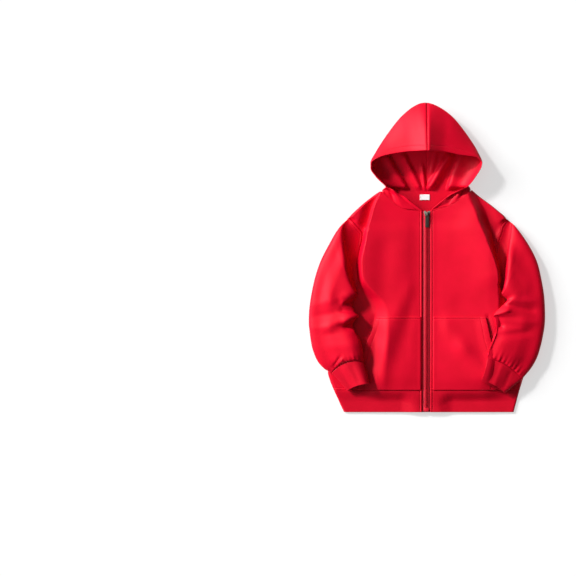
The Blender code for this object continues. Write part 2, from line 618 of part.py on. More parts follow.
def loft(sections):
    """A closed solid through equal loops of points."""
    n = len(sections[0])
    verts = [p for s in sections for p in s]
    faces = [tuple(range(n))[::-1], tuple((len(sections) - 1) * n + i for i in range(n))]
    for k in range(len(sections) - 1):
        for i in range(n):
            a, b = k * n + i, k * n + (i + 1) % n
            faces.append((a, b, b + n, a + n))
    return verts, faces


def outward(verts, faces):
    """Turn all faces of a closed solid to face out."""
    v = np.array(verts, float)
    volume = 0.0
    for f in faces:
        for i in range(1, len(f) - 1):
            volume += np.dot(v[f[0]], np.cross(v[f[i]], v[f[i + 1]]))
    return faces if volume > 0 else [tuple(f)[::-1] for f in faces]


# ---------------------------------------------------------------- pieces
def build_fronts(half):
    grid, lean = front_grid(half, 1)
    g = inset(grid, ("first", "last", "inner", "outer"), GAP)
    n = normals(g, False)
    n[n[..., 2] < 0] *= -1
    edge = lean / np.linalg.norm(lean, axis=1, keepdims=True)
    n[:, -1] = edge
    n[:, -2] = n[:, -2] * .5 + edge * .5
    n[:, -2] /= np.linalg.norm(n[:, -2], axis=1, keepdims=True)
    neck = HIP_STEPS + len(ARM_INNER)
    n[neck:, 0] = (0, 0, 1)
    n[-1, 0] = (0, 0, 1)
    n[0, :-2] = (0, 0, 1)
    sheet("front_" + half.tag, half, g, n, FLEECE, "fleece")


def build_sleeve(half):
    g = inset(sleeve_grid(half, 1), ("first", "last"), GAP)
    n = tube_normals(g)
    half_way = ARM_STEPS
    first = n[0]
    first[1:half_way] = (0, 0, 1)
    first[half_way + 1:] = (0, 0, -1)
    sheet("sleeve_" + half.tag, half, g, n, FLEECE, "fleece", closed=True)


def tube_normals(g):
    """Normals that point away from each ring's middle."""
    n = normals(g, True)
    away = g - g.mean(axis=1, keepdims=True)
    flip = (n * away).sum(-1).mean() < 0
    return -n if flip else n


def build_cuff(half):
    g = inset(cuff_grid(half, 1), ("first",), GAP)
    sheet("cuff_" + half.tag, half, g, tube_normals(g), RIB, "rib", closed=True)


def build_hood(half):
    g = inset(inset(hood_grid(half, 1), ("last", "outer"), GAP), ("first",), .55)
    n = normals(g, False)
    # the face is outside: up on the roof, down on the back
    if n[0:3, -1, 2].mean() > 0:
        n = -n
    for edge in (n[-1], n[:, -1]):
        edge[:, 0] = 0
        edge /= np.linalg.norm(edge, axis=1, keepdims=True)
    n[0, :RIM_PART] = (0, 0, 1)
    n[0, RIM_PART + CURL_PART:] = (0, 0, -1)
    sheet("hood_" + half.tag, half, g, n, FLEECE, "fleece")


def build_back():
    """Flat panel under everything, from the hem seam to the back of the neck."""
    loop = []
    for half in (LEFT, RIGHT):
        f = (1 - np.cos(np.linspace(0, math.pi, ARM_STEPS + 1))) / 2
        side = [np.array([plan(half.side, u) - GAP, u]) for u in HIP_UPS[:-1]]
        side[0][1] = HEM_TOP + GAP
        arm = path(half.arm_back, f)[::-1] - (GAP + .1, 0)
        arm[0] -= (.5, -.4)
        arm[-1] -= (.6, .6)
        shoulder = path(half.shoulder, SHOULDER_AT) - (GAP, GAP)
        neck = [np.array([108.6, 156.6]), np.array([83.1, 155.3 - GAP]), np.array([0.0, 155.3 - GAP])]
        edge = np.vstack([side, arm, shoulder, neck])
        edge[:, 0] *= half.sign
        loop.append(edge)
    points = np.vstack([loop[0], loop[1][::-1][1:]])
    n = len(points)
    verts = [(x, y, z) for z in (0.0, FLEECE) for x, y in points]
    faces = [tuple(range(n))[::-1], tuple(range(n, 2 * n))]
    faces += [(i, (i + 1) % n, (i + 1) % n + n, i + n) for i in range(n)]
    add("back_panel", verts, outward(verts, faces), "fleece")


def hem_grid(k):
    """The rib band: zip edge, front, round the side, back, round and up to the other zip edge."""
    rows = []
    for w in np.linspace(0, 1, 3 * k + 1):
        up = HEM_TOP + (HEM_END - HEM_TOP) * w
        front = {}
        for half in (LEFT, RIGHT):
            side = half.side[0][0] + (half.hem_out - half.side[0][0]) * w
            soft = 6.0
            b = np.linspace(0, 1, 9 * k + 1)
            out = half.zip_edge + (1 - (1 - b) ** 1.12) * (side - soft - half.zip_edge)
            top = front_top(half, out, np.full_like(out, HEM_TOP))
            end = 11.5 + .10 * (front_top(half, out, np.full_like(out, HEM_TOP)) - 12)
            z = top + (end - top) * ease(w * 1.2)
            high = z[-1]
            a = np.linspace(0, math.pi, 4 * k + 1)[1:]
            bend = np.column_stack([side - soft + soft * np.sin(a), high / 2 * (1 + np.cos(a))])
            front[half.tag] = np.vstack([np.column_stack([out, z]), bend])
        left, right = front["l"], front["r"]
        across = np.linspace(-left[-1, 0], right[-1, 0], 8 * k + 1)[1:-1]
        line = [(-x, z) for x, z in left] + [(x, 0.0) for x in across]
        line += [(x, z) for x, z in right[::-1]]
        rows.append([(x, up, z) for x, z in line])
    return np.array(rows)


def build_hem():
    g = inset(hem_grid(1), ("first",), GAP)
    n = normals(g, False)
    middle = g.shape[1] // 2
    if n[0, middle, 2] > 0:
        n = -n
    n[..., 1] = 0
    n /= np.linalg.norm(n, axis=-1, keepdims=True)
    verts, faces = wall(g, n, RIB)
    add("hem_band", verts, outward(verts, faces), "rib")


def on_rows(line, out):
    """Height on a row of the panel at distances `out`."""
    return np.interp(out, line[:, 0], line[:, 2]), np.interp(out, line[:, 0], line[:, 1])


def pocket_grid(half, k, lift=3.0):
    """The pocket's face, made from the front's own points and moved out."""
    grid, _ = front_grid(half, k)
    last = (HIP_STEPS - 2) * k
    rows = []
    for i in range(last + 1):
        line = grid[i]
        up = line[0, 1]
        edge = float(plan(half.pocket, np.clip(up, -315.2, half.pocket_top)))
        flat = line[:FLAT_CELLS * k + 1, 0].copy()
        flat[0] = 15.5
        out = np.concatenate([flat, np.linspace(flat[-1], edge, 3 * k + 1)[1:]])
        z, y = on_rows(line, out)
        mid = ease((up + 312) / 50) * ease((half.pocket_top + 12 - up) / 40)
        z = z + POCKET + .7 + lift * mid * ease((out - flat[-1] + 18) / (edge - flat[-1] + 8))
        rows.append(np.column_stack([out, y, z]))
    return np.array(rows)


def build_pocket(half):
    g = pocket_grid(half, 1)
    g[0, :, 1] += .6
    n = normals(g, False)
    n[n[..., 2] < 0] *= -1
    sheet("pocket_" + half.tag, half, g, n, POCKET, "fleece")


def zip_ups(k=1):
    """Stations along the zip from the hem to the neck, on the front's own rows."""
    low = np.linspace(HEM_END + 1, HEM_TOP, 3 * k + 1)
    rest = [r[0][1] for r in front_rows(LEFT, k)[1:HIP_STEPS * k + len(ARM_INNER) * k]]
    return np.concatenate([low, rest, [ZIP_TOP - 1.5]])


def zip_height(up):
    """Height of the front's face beside the zip."""
    up = np.asarray(up, float)
    end = 11.5 + .10 * (front_top(LEFT, 12.0, HEM_TOP) - 12)
    w = (HEM_TOP - up) / (HEM_TOP - HEM_END)
    top = front_top(LEFT, np.full(up.shape, 12.0), np.maximum(up, HEM_TOP))
    return top + (end - top) * ease(w * 1.2)


def build_zip():
    ups = zip_ups()
    z = zip_height(ups)
    for tag, sign, near, far in (("l", -1, .6, 19.5), ("r", 1, .6, 16.5)):
        loops = [[(sign * near, u, h - 3.5), (sign * far, u, h - 3.5), (sign * far, u, h - 2.7),
                  (sign * near, u, h - 2.7)] for u, h in zip(ups, z)]
        verts, faces = loft(loops)
        add("zip_tape_" + tag, verts, outward(verts, faces), "tape")
    chain = [u for u in ups if -355 < u < 94]
    chain = np.array([-356.5] + chain + [97.2])
    loops = []
    for u, h in zip(chain, zip_height(chain)):
        base = h - 2.3
        loops.append([(x, u, base + d) for x, d in ((-4.9, 0), (4.9, 0), (4.9, 1.6), (3.2, 2.7),
                                                    (-3.2, 2.7), (-4.9, 1.6))])
    verts, faces = loft(loops)
    add("zip_chain", verts, outward(verts, faces), "tape")
    h = float(zip_height(-362.0))
    block("zip_box", (-4.6, 4.6), (-366.4, -357.0), (h - 2.4, h + 1.2), "tape")


SLIDER_LOW, SLIDER_HIGH = 97.6, 110.4       # along the zip
AXIS_UP, AXIS_LIFT = 103.6, 3.0             # pull's axle: place along the zip, height over the front
BRIDGE_GAP, BRIDGE_POST, BRIDGE_WIDE = 2.6, 1.5, 3.0


def build_slider():
    """Body with two shoulders toward the neck, and a bridge over the pull's axle."""
    face = float(zip_height(AXIS_UP))
    low, high, top = face - 2.4, face + 1.2, face + AXIS_LIFT + 3.0
    side = ((4.6, SLIDER_LOW), (5.4, 101.5), (7.4, 107.0), (6.6, SLIDER_HIGH),
            (2.8, SLIDER_HIGH - .4), (0.9, 107.6))
    outline = side + tuple((-x, y) for x, y in side[::-1])
    slider = plate("zip_slider", [outline], high - low, "metal")
    slider.location.z = (low + high) / 2 * MM
    # half of the bent bar that stands on the body: along the zip from the axle, height
    foot, outside = high - .6, BRIDGE_GAP + BRIDGE_POST
    bar = ((outside, foot), (outside, top - 1.0), (outside - .8, top))
    inside = ((BRIDGE_GAP - .5, top - 1.3), (BRIDGE_GAP, top - 1.7), (BRIDGE_GAP, foot))
    arch = bar + tuple((-y, z) for y, z in bar[::-1])
    arch += tuple((-y, z) for y, z in inside[::-1]) + inside
    bridge = plate("bridge", [arch], BRIDGE_WIDE, "metal")
    bridge.rotation_euler = (math.pi / 2, 0, math.pi / 2)
    bridge.location.y = AXIS_UP * MM
    join = slider.modifiers.new("bridge", "BOOLEAN")
    join.operation, join.solver, join.object = "UNION", "EXACT", bridge
    bpy.context.view_layer.update()
    body = slider.evaluated_get(bpy.context.evaluated_depsgraph_get())
    mesh = bpy.data.meshes.new_from_object(body)
    place_up = slider.location.copy()
    bpy.data.objects.remove(bridge)
    bpy.data.objects.remove(slider)
    link("zip_slider", mesh, "metal").location = place_up


PULL_LONG, PULL_HALF, PULL_THICK = 32.0, 4.3, 1.6


def build_pull():
    """Flat metal tab; the bar at its top turns under the slider's bridge."""
    axle = float(zip_height(AXIS_UP)) + AXIS_LIFT
    end = float(zip_height(AXIS_UP - PULL_LONG)) + .7 + PULL_THICK / 2
    side = ((1.2, 1.1), (3.0, 1.1), (3.6, .3), (3.8, -3.5), (3.9, -8.8),
            (PULL_HALF, -PULL_LONG + 1.6), (PULL_HALF - .9, -PULL_LONG))
    eye = ((1.0, -1.0), (2.0, -1.0), (2.3, -1.5), (2.3, -6.6), (1.8, -7.3))
    loops = [half + tuple((-x, y) for x, y in half[::-1]) for half in (side, eye)]
    pull = plate("zip_pull", loops, PULL_THICK, "metal")
    pull.rotation_euler.x = math.asin((axle - end) / PULL_LONG)
    pull.location = (0.0, AXIS_UP * MM, axle * MM)


def build_label():
    block("neck_label", (-16.6, 7.1), (136.3, 149.4), (2.3, 2.9), "label")


def main():
    for thing in list(bpy.data.objects):
        bpy.data.objects.remove(thing)
    bpy.context.scene.collection.children.link(bpy.data.collections.new(GARMENT))
    build_back()
    build_hem()
    for half in (LEFT, RIGHT):
        build_fronts(half)
        build_sleeve(half)
        build_cuff(half)
        build_hood(half)
        build_pocket(half)
    build_zip()
    build_slider()
    build_pull()
    build_label()


if __name__ == "__main__":
    main()
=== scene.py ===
"""Child's zip hoodie laid flat on its back: the finished cloth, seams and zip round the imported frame.

Lengths in the tables and fields are millimetres.  X runs across, Y up to the hood and Z up off the
table.  `out` is the distance from the zip line to either side and `up` is Y; pieces ending in `_l`
lie at -X and those ending in `_r` at +X.
"""
from __future__ import annotations

import json
import logging
import math
from dataclasses import dataclass, field
from enum import Enum

import bmesh
import bpy
import numpy as np
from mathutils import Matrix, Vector

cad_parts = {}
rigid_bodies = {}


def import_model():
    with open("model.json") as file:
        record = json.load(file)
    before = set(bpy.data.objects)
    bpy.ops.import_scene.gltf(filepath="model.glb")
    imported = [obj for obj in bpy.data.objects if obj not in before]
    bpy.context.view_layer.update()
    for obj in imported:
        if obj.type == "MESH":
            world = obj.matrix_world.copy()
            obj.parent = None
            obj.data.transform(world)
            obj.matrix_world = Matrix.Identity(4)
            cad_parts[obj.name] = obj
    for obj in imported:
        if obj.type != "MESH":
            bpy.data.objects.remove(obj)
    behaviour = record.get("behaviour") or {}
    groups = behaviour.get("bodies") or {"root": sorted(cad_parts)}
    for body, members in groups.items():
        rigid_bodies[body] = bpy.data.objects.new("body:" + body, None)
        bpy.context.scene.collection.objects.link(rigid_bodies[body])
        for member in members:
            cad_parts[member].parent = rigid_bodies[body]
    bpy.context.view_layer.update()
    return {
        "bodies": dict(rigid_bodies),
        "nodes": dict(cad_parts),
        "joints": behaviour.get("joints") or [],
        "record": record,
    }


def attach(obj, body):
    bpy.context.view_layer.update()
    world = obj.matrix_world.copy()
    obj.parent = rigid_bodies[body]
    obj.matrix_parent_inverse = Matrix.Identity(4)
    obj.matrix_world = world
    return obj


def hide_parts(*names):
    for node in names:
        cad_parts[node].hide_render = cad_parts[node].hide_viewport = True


LOG = logging.getLogger("hoodie")
MM = 0.001
Array = np.ndarray
Row = tuple[float, ...]
Table = tuple[Row, ...]

HEM_TOP, HEM_END = -315.9, -367.9       # seam and lower edge of the rib band
ZIP_TOP = 111.7                         # where the zip meets the neck seam
UNDERARM = -82.2
NECK_BACK = 155.3                       # seam between the back panel and the hood
FLEECE_WALL, RIB_WALL, POCKET_WALL = 2.0, 2.2, 1.8
EDGE_LOW = 2.1                          # height of the side and shoulder seams off the table
ARM_TIP = 4.6                           # height of the armhole seam at its two ends
NECK_RAISE = 3.4                        # what the shoulder seam gains in height toward the neck
TURN_WIDE, TURN_MORE = 8.0, 4.0         # width of a front's turned edge, and what some stretches add
UNDERARM_LAP, UNDERARM_LONG = 4.5, 7.0  # what a front gains at the underarm, and along what length
ZIP_SIDE = 12.0                         # where the fronts' height beside the zip is read
ARM_STEPS, HIP_STEPS, SHOULDER_STEPS = 10, 7, 4


# ---------------------------------------------------------------------------------- curve maths
def columns(rows: Table) -> list[Array]:
    """Turn a table of rows into one array for each column."""
    return [np.array(c, float) for c in zip(*rows)]


def along(xs: Array, ys: Array, x: Array | float) -> Array:
    """Read a smooth line that never overshoots its given points.

    Args:
        xs: Places of the given points, in any order.
        ys: Values there.
        x: Where to read the line.

    Returns:
        The values at x.
    """
    xs, ys = np.asarray(xs, float), np.asarray(ys, float)
    order = np.argsort(xs)
    xs, ys = xs[order], ys[order]
    h, d = np.diff(xs), np.diff(ys) / np.diff(xs)
    m = np.zeros_like(ys)
    m[0], m[-1] = d[0], d[-1]
    for i in range(1, len(xs) - 1):
        if d[i - 1] * d[i] > 0:
            a, b = 2 * h[i] + h[i - 1], h[i] + 2 * h[i - 1]
            m[i] = (a + b) / (a / d[i - 1] + b / d[i])
    x = np.clip(np.asarray(x, float), xs[0], xs[-1])
    i = np.clip(np.searchsorted(xs, x) - 1, 0, len(xs) - 2)
    t = (x - xs[i]) / h[i]
    return ((1 + 2 * t) * (1 - t) ** 2 * ys[i] + t * (1 - t) ** 2 * h[i] * m[i]
            + t * t * (3 - 2 * t) * ys[i + 1] + t * t * (t - 1) * h[i] * m[i + 1])


def path(points: Table, f: Array | float) -> Array:
    """Give places at fractions f of a smooth line's length through the points."""
    p = np.asarray(points, float)
    k = np.arange(len(p))
    fine = np.linspace(0, len(p) - 1, 12 * (len(p) - 1) + 1)
    q = np.stack([along(k, p[:, c], fine) for c in range(p.shape[1])], 1)
    s = np.concatenate([[0], np.cumsum(np.linalg.norm(np.diff(q, axis=0), axis=1))])
    reach = np.asarray(f, float) * s[-1]
    return np.stack([np.interp(reach, s, q[:, c]) for c in range(p.shape[1])], -1)


def ease(t: Array | float) -> Array:
    """Go smoothly from 0 to 1."""
    t = np.clip(t, 0, 1)
    return t * t * (3 - 2 * t)


def bell(t: Array | float) -> Array:
    """A smooth bump of height 1 and half width about 1."""
    return np.exp(-np.square(t))


def refine(n: int, k: int) -> Array:
    """Row numbers 0..n with k steps between each."""
    return np.linspace(0, n, n * k + 1)


def crowd(n: int) -> Array:
    """Fractions 0..1 that lie closer together near both ends."""
    return (1 - np.cos(np.linspace(0, math.pi, n + 1))) / 2


def blend_rows(stations: Array, at: Array) -> Array:
    """Read smooth rows between stations, column by column.

    Args:
        stations: Stations x columns x 3.
        at: Fractional station numbers of the wanted rows.

    Returns:
        Rows x columns x 3.
    """
    m = len(stations)
    flat = stations.reshape(m, -1)
    pad = np.vstack([2 * flat[0] - flat[1], flat, 2 * flat[-1] - flat[-2]])
    i = np.clip(np.floor(at).astype(int), 0, m - 2)
    t = (at - i)[:, None]
    p0, p1, p2, p3 = pad[i], pad[i + 1], pad[i + 2], pad[i + 3]
    out = .5 * (2 * p1 + (p2 - p0) * t + (2 * p0 - 5 * p1 + 4 * p2 - p3) * t ** 2
                + (3 * p1 - p0 - 3 * p2 + p3) * t ** 3)
    return out.reshape((len(at),) + stations.shape[1:])


def creases(rows: Table, x: Array, y: Array) -> Array:
    """Height of listed soft ridges and troughs laid on a piece.

    Args:
        rows: One row a crease: x, y at each end, sideways bow, half width on its left, half width
            on its right, height (negative for a trough), length of its fading ends.
        x: Places across.
        y: Places up.

    Returns:
        The summed height at each place.
    """
    z = np.zeros(np.broadcast(x, y).shape)
    for x0, y0, x1, y1, bow, left, right, high, fade in rows:
        dx, dy = x1 - x0, y1 - y0
        long = math.hypot(dx, dy)
        t = ((x - x0) * dx + (y - y0) * dy) / long ** 2
        mid = np.clip(t, 0, 1)
        away = ((x - x0) * dy - (y - y0) * dx) / long - bow * 4 * mid * (1 - mid)
        wide = np.where(away < 0, left, right)
        past = np.maximum(np.maximum(-t, t - 1), 0) * long
        z = z + high * bell(away / wide) * bell(past / fade)
    return z


# ---------------------------------------------------------------------------------- the cut
# height of the front between its folds: up, height
PLATEAU = ((-368, 12), (-316, 16), (-285, 20), (-240, 23), (-140, 25), (0, 25.5), (60, 24),
           (92, 21), (132, 21), (160, 18))
TILT = .07                              # rise of each front from the zip to its side fold
TILT_FROM, TILT_LONG = 22, 125          # where that rise starts and how far it runs
FOLD_POWER = 2.3                        # outline of a round fold: 2 is a circle, more is squarer
# the hem band falls to HEM_EDGE, plus HEM_KEEP of what the front stands over HEM_LEVEL; away from the
# zip it lies HEM_SINK lower and comes down sooner
HEM_EDGE, HEM_LEVEL, HEM_KEEP, HEM_SINK = 11.5, 12.0, .10, 5.6
HEM_PACE, HEM_PACE_MORE = 1.2, .7
SLEEVE_GAP = 1.3                        # air between a front and the sleeve on it
POCKET_GAP, POCKET_ROOM = .6, 3.2       # air under a pocket, and room for its lift under a sleeve
OUTER_POWER, INNER_POWER = 7.5, 4.6     # how square a tube's outer and inner edges are
OUTER_MEET, INNER_MEET = .56, .5        # height at which its two layers meet there, of the top's height
RIM_SHARE = .92                         # height of the top at its very edges, of that a fifth further in
OVER_BODY = (0, .25, .75, 1)            # how far a sleeve's first rings lie over the body
MOUTH_STRIP = 16                        # least width of the strip of cells along a pocket's opening
ZIP_FREE, ZIP_FADE = 20, 30             # no creases this near the zip; then they grow over the second
HOLD_POWER = 1.5                        # how fast the hood's rows leave the line of the neck seam
CURL_ROUND, CURL_FLAT = .55, .45        # shares of a round turn and of a plain slope under the hood
HOOD_LOW = 30                           # folds shape the hood's back where it lies lower than this
CROWN_DEEP, CROWN_WIDE = 3.0, 3.2       # groove along the seam over the head
HIP_UPS = (-315.9, -282, -247, -212, -177, -141, -111, UNDERARM)
ARM_INNER = (UNDERARM, -76, -60, -32, 4, 44, 84)
NECK_AT = (0, .18, .33, .45, .60, .74, .86, .95)
SHOULDER_AT = (.25, .5, .75, .985)
NECK_FIRST = HIP_STEPS + len(ARM_INNER)
HOOD_STATIONS = (0, .5, 1, 1.5, 2, 3, 4, 5, 5.5, 6, 6.5, 7, 7.5, 8, 8.5, 9, 10, 11)
# cells across a front: its flat part, its fold, the part outside the fold, the turn of the edge
FLAT_CELLS, FOLD_CELLS, SIDE_CELLS, TURN_CELLS = 6, 3, 2, 2
# cells across a hood half: rim to side, the turn under, the back on the table
RIM_CELLS, CURL_CELLS, BACK_CELLS = len(NECK_AT), 3, 8


@dataclass(frozen=True)
class HalfCut:
    """The cut and the lie of one half of the garment.

    Tables hold (out, up) places unless their name says otherwise.  `fold` rows are up, foot, width
    and height outside it; `fold_crisp` is 0 for a soft slope and 1 for a round edge.  `rings` and
    `cuff` rows are outer x y, inner x y, bow over, bow under and three heights on top.  `hood` rows are
    rim xyz, knee xyz, side xyz, foot xy and centre y.  `arm_z` rows are fraction from the shoulder and
    height of the armhole seam.  `mouth` and the other `creases` tables follow the function of that
    name.  `gathers` rows are place across the top of the sleeve, half width, height and length.
    `hem_out` is `out` at the band's lower corner, `shoulder_rise` lifts the front outside its fold, and
    from `seam_shown` up the armhole's edge shows.
    """

    tag: str
    sign: int
    zip_edge: float
    side: Table
    hem_out: float
    arm_z: Table
    shoulder_rise: float
    seam_shown: float
    arm_front: Table
    arm_back: Table
    shoulder: Table
    neck: Table
    fold: Table
    fold_crisp: float
    front_creases: Table
    rings: Table
    sleeve_creases: Table
    gathers: Table
    cuff: Table
    cuff_creases: Table
    pocket: Table
    pocket_top: float
    pocket_lift: float
    mouth: Table
    hood: Table

    def plan(self, points: Table, key: Array | float) -> Array:
        """Read `out` at a height along a table of (out, up)."""
        out, up = columns(points)
        return along(up, out, key)

    def front_top(self, out: Array | float, up: Array | float) -> Array:
        """Height of the front's face before its edges turn down."""
        out, up = np.asarray(out, float), np.asarray(up, float)
        ups, foots, widths, lows = columns(self.fold)
        foot, wide, low = (along(ups, c, up) for c in (foots, widths, lows))
        away = ease((out - ZIP_FREE) / ZIP_FADE)
        high = along(*columns(PLATEAU), up) + creases(self.front_creases, out, up) * away
        high = high + TILT * np.clip(out - TILT_FROM, 0, TILT_LONG) * ease((up + 340) / 60)
        t = np.clip((foot - out) / wide, 0, 1)
        rise = self.shoulder_rise * ease((out - foot - 2) / 26) * ease((up - 60) / 28)
        round_over = (1 - (1 - t) ** FOLD_POWER) ** (1 / FOLD_POWER)
        crisp = self.fold_crisp * ease((up + 100) / 50)
        return low + rise + (high - low) * (crisp * round_over + (1 - crisp) * ease(t))

    def front_rows(self, k: int) -> list[tuple[Array, Array, float, float, float]]:
        """Ends of each row of the front.

        Args:
            k: Steps between the named rows.

        Returns:
            For each row its inner end, outer end, height at the outer edge, how far that edge turns
            down (0 to 1) and over what width.
        """
        rows = []
        last = HIP_STEPS + ARM_STEPS
        for i in refine(last + SHOULDER_STEPS, k):
            if i <= HIP_STEPS:
                up = float(np.interp(i, range(HIP_STEPS + 1), HIP_UPS))
                outer = np.array([self.plan(self.side, up), up])
                w = max(0.0, i - HIP_STEPS + 1)
                edge, turn, soft = EDGE_LOW + (ARM_TIP - EDGE_LOW) * w, 1 - .5 * w, TURN_WIDE
            elif i <= last:
                f = float(np.interp(last - i, range(ARM_STEPS + 1), crowd(ARM_STEPS)))
                outer = path(self.arm_front, f)
                edge = float(along(*columns(self.arm_z), f))
                w = min(1, (i - HIP_STEPS) / 2, (last - i) / 1.5)
                turn, soft = .5 * (1 - w), TURN_WIDE + TURN_MORE * w
            else:
                f = float(np.interp(i - last, range(SHOULDER_STEPS + 1), (0,) + SHOULDER_AT))
                outer = path(self.shoulder, f)
                w = min(1, i - last)
                near = float(ease((f - .45) / .5))
                edge = ARM_TIP + (EDGE_LOW + NECK_RAISE * near - ARM_TIP) * w
                turn, soft = .5 + .5 * w, TURN_WIDE + TURN_MORE * near
            outer = outer + np.array([UNDERARM_LAP * bell((outer[1] - UNDERARM) / UNDERARM_LONG), 0])
            if i < NECK_FIRST:
                inner_up = outer[1] if i <= HIP_STEPS else float(np.interp(
                    i - HIP_STEPS, range(len(ARM_INNER) + 1), ARM_INNER + (ZIP_TOP,)))
                inner = np.array([self.zip_edge, inner_up])
            else:
                at = np.interp(i - NECK_FIRST, range(len(NECK_AT)), NECK_AT)
                inner = path(self.neck, at)
            rows.append((inner, outer, edge, turn, soft))
        return rows

    def fold_span(self, inner: Array, outer: Array, soft: float) -> tuple[float, float, float]:
        """Distances along a row where the fold starts and ends and where the edge turns down."""
        wide = np.linalg.norm(outer - inner)
        ups, foots, widths, _ = columns(self.fold)
        d = np.linspace(0, wide, 121)
        xy = inner + (outer - inner) * (d / wide)[:, None]
        foot, span = along(ups, foots, xy[:, 1]), along(ups, widths, xy[:, 1])
        end = float(np.interp(0, xy[:, 0] - foot, d))
        start = float(np.interp(0, xy[:, 0] - foot + span, d))
        turn = wide - soft
        end = min(end, turn - .12 * wide if wide < 60 else turn - 3)
        start = min(start, end - .2 * min(wide, 60))
        start = max(start, .35 * wide if wide < 60 else 20)
        return start, max(end, start + .1 * wide if wide < 60 else start + 6), turn

    def front_grid(self, k: int) -> Array:
        """Points of the front's face, rows from the hem to the shoulder."""
        grid = []
        for inner, outer, edge, turn, soft in self.front_rows(k):
            wide = np.linalg.norm(outer - inner)
            soft = min(soft, .3 * wide)
            start, end, last = self.fold_span(inner, outer, soft)
            d = np.concatenate([
                np.linspace(0, start, FLAT_CELLS * k + 1),
                np.linspace(start, end, FOLD_CELLS * k + 1)[1:],
                np.linspace(end, last, SIDE_CELLS * k + 1)[1:],
                np.sin(np.linspace(0, math.pi / 2, TURN_CELLS * k + 1)[1:]) * soft + last])
            xy = inner + (outer - inner) * (d / wide)[:, None]
            top = self.front_top(xy[:, 0], xy[:, 1])
            s = np.clip((wide - d) / soft, 0, 1)
            hard = np.sqrt(np.clip(1 - (1 - s) ** 2, 0, 1))
            mild = np.sin(s * math.pi / 2)
            z = edge + (top - edge) * (turn * hard + (1 - turn) * mild)
            grid.append(np.column_stack([xy, z]))
        return np.array(grid)

    def clear_of_body(self, out: Array | float, up: Array | float) -> Array:
        """Lowest height for cloth lying over the body's edge; 0 well outside it."""
        out, up = np.asarray(out, float), np.asarray(up, float)
        seam = self.plan(self.side, up)
        band = self.side[0][0] + (self.hem_out - self.side[0][0]) * np.clip(
            (HEM_TOP - up) / (HEM_TOP - HEM_END), 0, 1)
        arm = np.maximum(self.plan(self.arm_back, up), self.plan(self.arm_front, np.clip(up, -82, 90)))
        edge = np.where(up < HEM_TOP, band, np.where(up > UNDERARM, arm, seam))
        opening = self.plan(self.pocket, up)
        over = ease((opening + 12 - out) / 9) * ease((self.pocket_top + 10 - up) / 8)
        pocket = (POCKET_WALL + POCKET_ROOM) * over
        return (self.front_top(out, up) + pocket + SLEEVE_GAP) * ease((edge - out + 15) / 12.5)

    def ring(self, row: Row, f: Array, weight: float, top: bool) -> Array:
        """Points across a tube from its outer to its inner side.

        Args:
            row: A row of `rings` or `cuff`.
            f: Fractions across.
            weight: How far the tube lies over the body, 0 to 1.
            top: True for the upper layer.

        Returns:
            len(f) x 3 places.
        """
        ox, oy, ix, iy, bow_over, bow_under, z1, z2, z3 = row
        a, b = np.array([ox, oy]), np.array([ix, iy])
        e = (b - a) / np.linalg.norm(b - a)
        n = np.array([-e[1], e[0]])
        bow = bow_over if top else bow_under
        xy = a + (b - a) * f[:, None] + n * (bow * 4 * f * (1 - f))[:, None]
        power = np.where(f < .5, OUTER_POWER, INNER_POWER)
        full = np.sqrt(np.clip(1 - np.abs(2 * f - 1) ** power, 0, 1))
        low_out, low_in = (self.clear_of_body(*p) * weight for p in (a, b))
        meet_out, meet_in = low_out + OUTER_MEET * (z1 - low_out), low_in + INNER_MEET * (z3 - low_in)
        side = meet_out * (1 - f) + meet_in * f
        under = self.clear_of_body(xy[:, 0], xy[:, 1]) * weight
        heights = (z1 * RIM_SHARE, z1, z2, z3, z3 * RIM_SHARE)
        z = along((0, .2, .5, .8, 1), heights, f) if top else under
        z = np.maximum(side + (z - side) * full, under + (1.0 if top else 0))
        return np.column_stack([xy, z])

    def loop(self, row: Row, f: Array, weight: float) -> Array:
        """Closed ring round a tube: over the top from its outer side, then back under."""
        top, under = (self.ring(row, f, weight, over) for over in (True, False))
        return np.vstack([top, under[1:-1][::-1]])

    def sleeve_grid(self, k: int) -> Array:
        """Closed rings from the armhole to the cuff seam: over the top, then back under."""
        f = crowd(ARM_STEPS * k)
        first = np.column_stack([path(self.arm_front, f), along(*columns(self.arm_z), f)])
        first[0, 2] = first[-1, 2] = 3.4
        back = np.column_stack([path(self.arm_back, f), np.zeros(len(f))])[1:-1][::-1]
        stations = [np.vstack([first, back])]
        stations += [self.loop(row, f, OVER_BODY[min(j, 3)]) for j, row in enumerate(self.rings)]
        return blend_rows(np.array(stations), refine(len(self.rings), k))

    def cuff_grid(self, k: int) -> Array:
        """Closed rings from the cuff seam to the cuff's lower edge."""
        f = crowd(ARM_STEPS * k)
        stations = [self.loop(row, f, 1) for row in self.cuff]
        return blend_rows(np.array(stations), refine(len(self.cuff) - 1, 2 * k))

    def hood_bend(self, row: Row, t: Array) -> Array:
        """Places on one section of the hood between its rim and its side."""
        rim, knee, side = np.array(row[0:3]), np.array(row[3:6]), np.array(row[6:9])
        return (((1 - t) ** 2)[:, None] * rim + (2 * t * (1 - t))[:, None] * knee
                + (t ** 2)[:, None] * side)

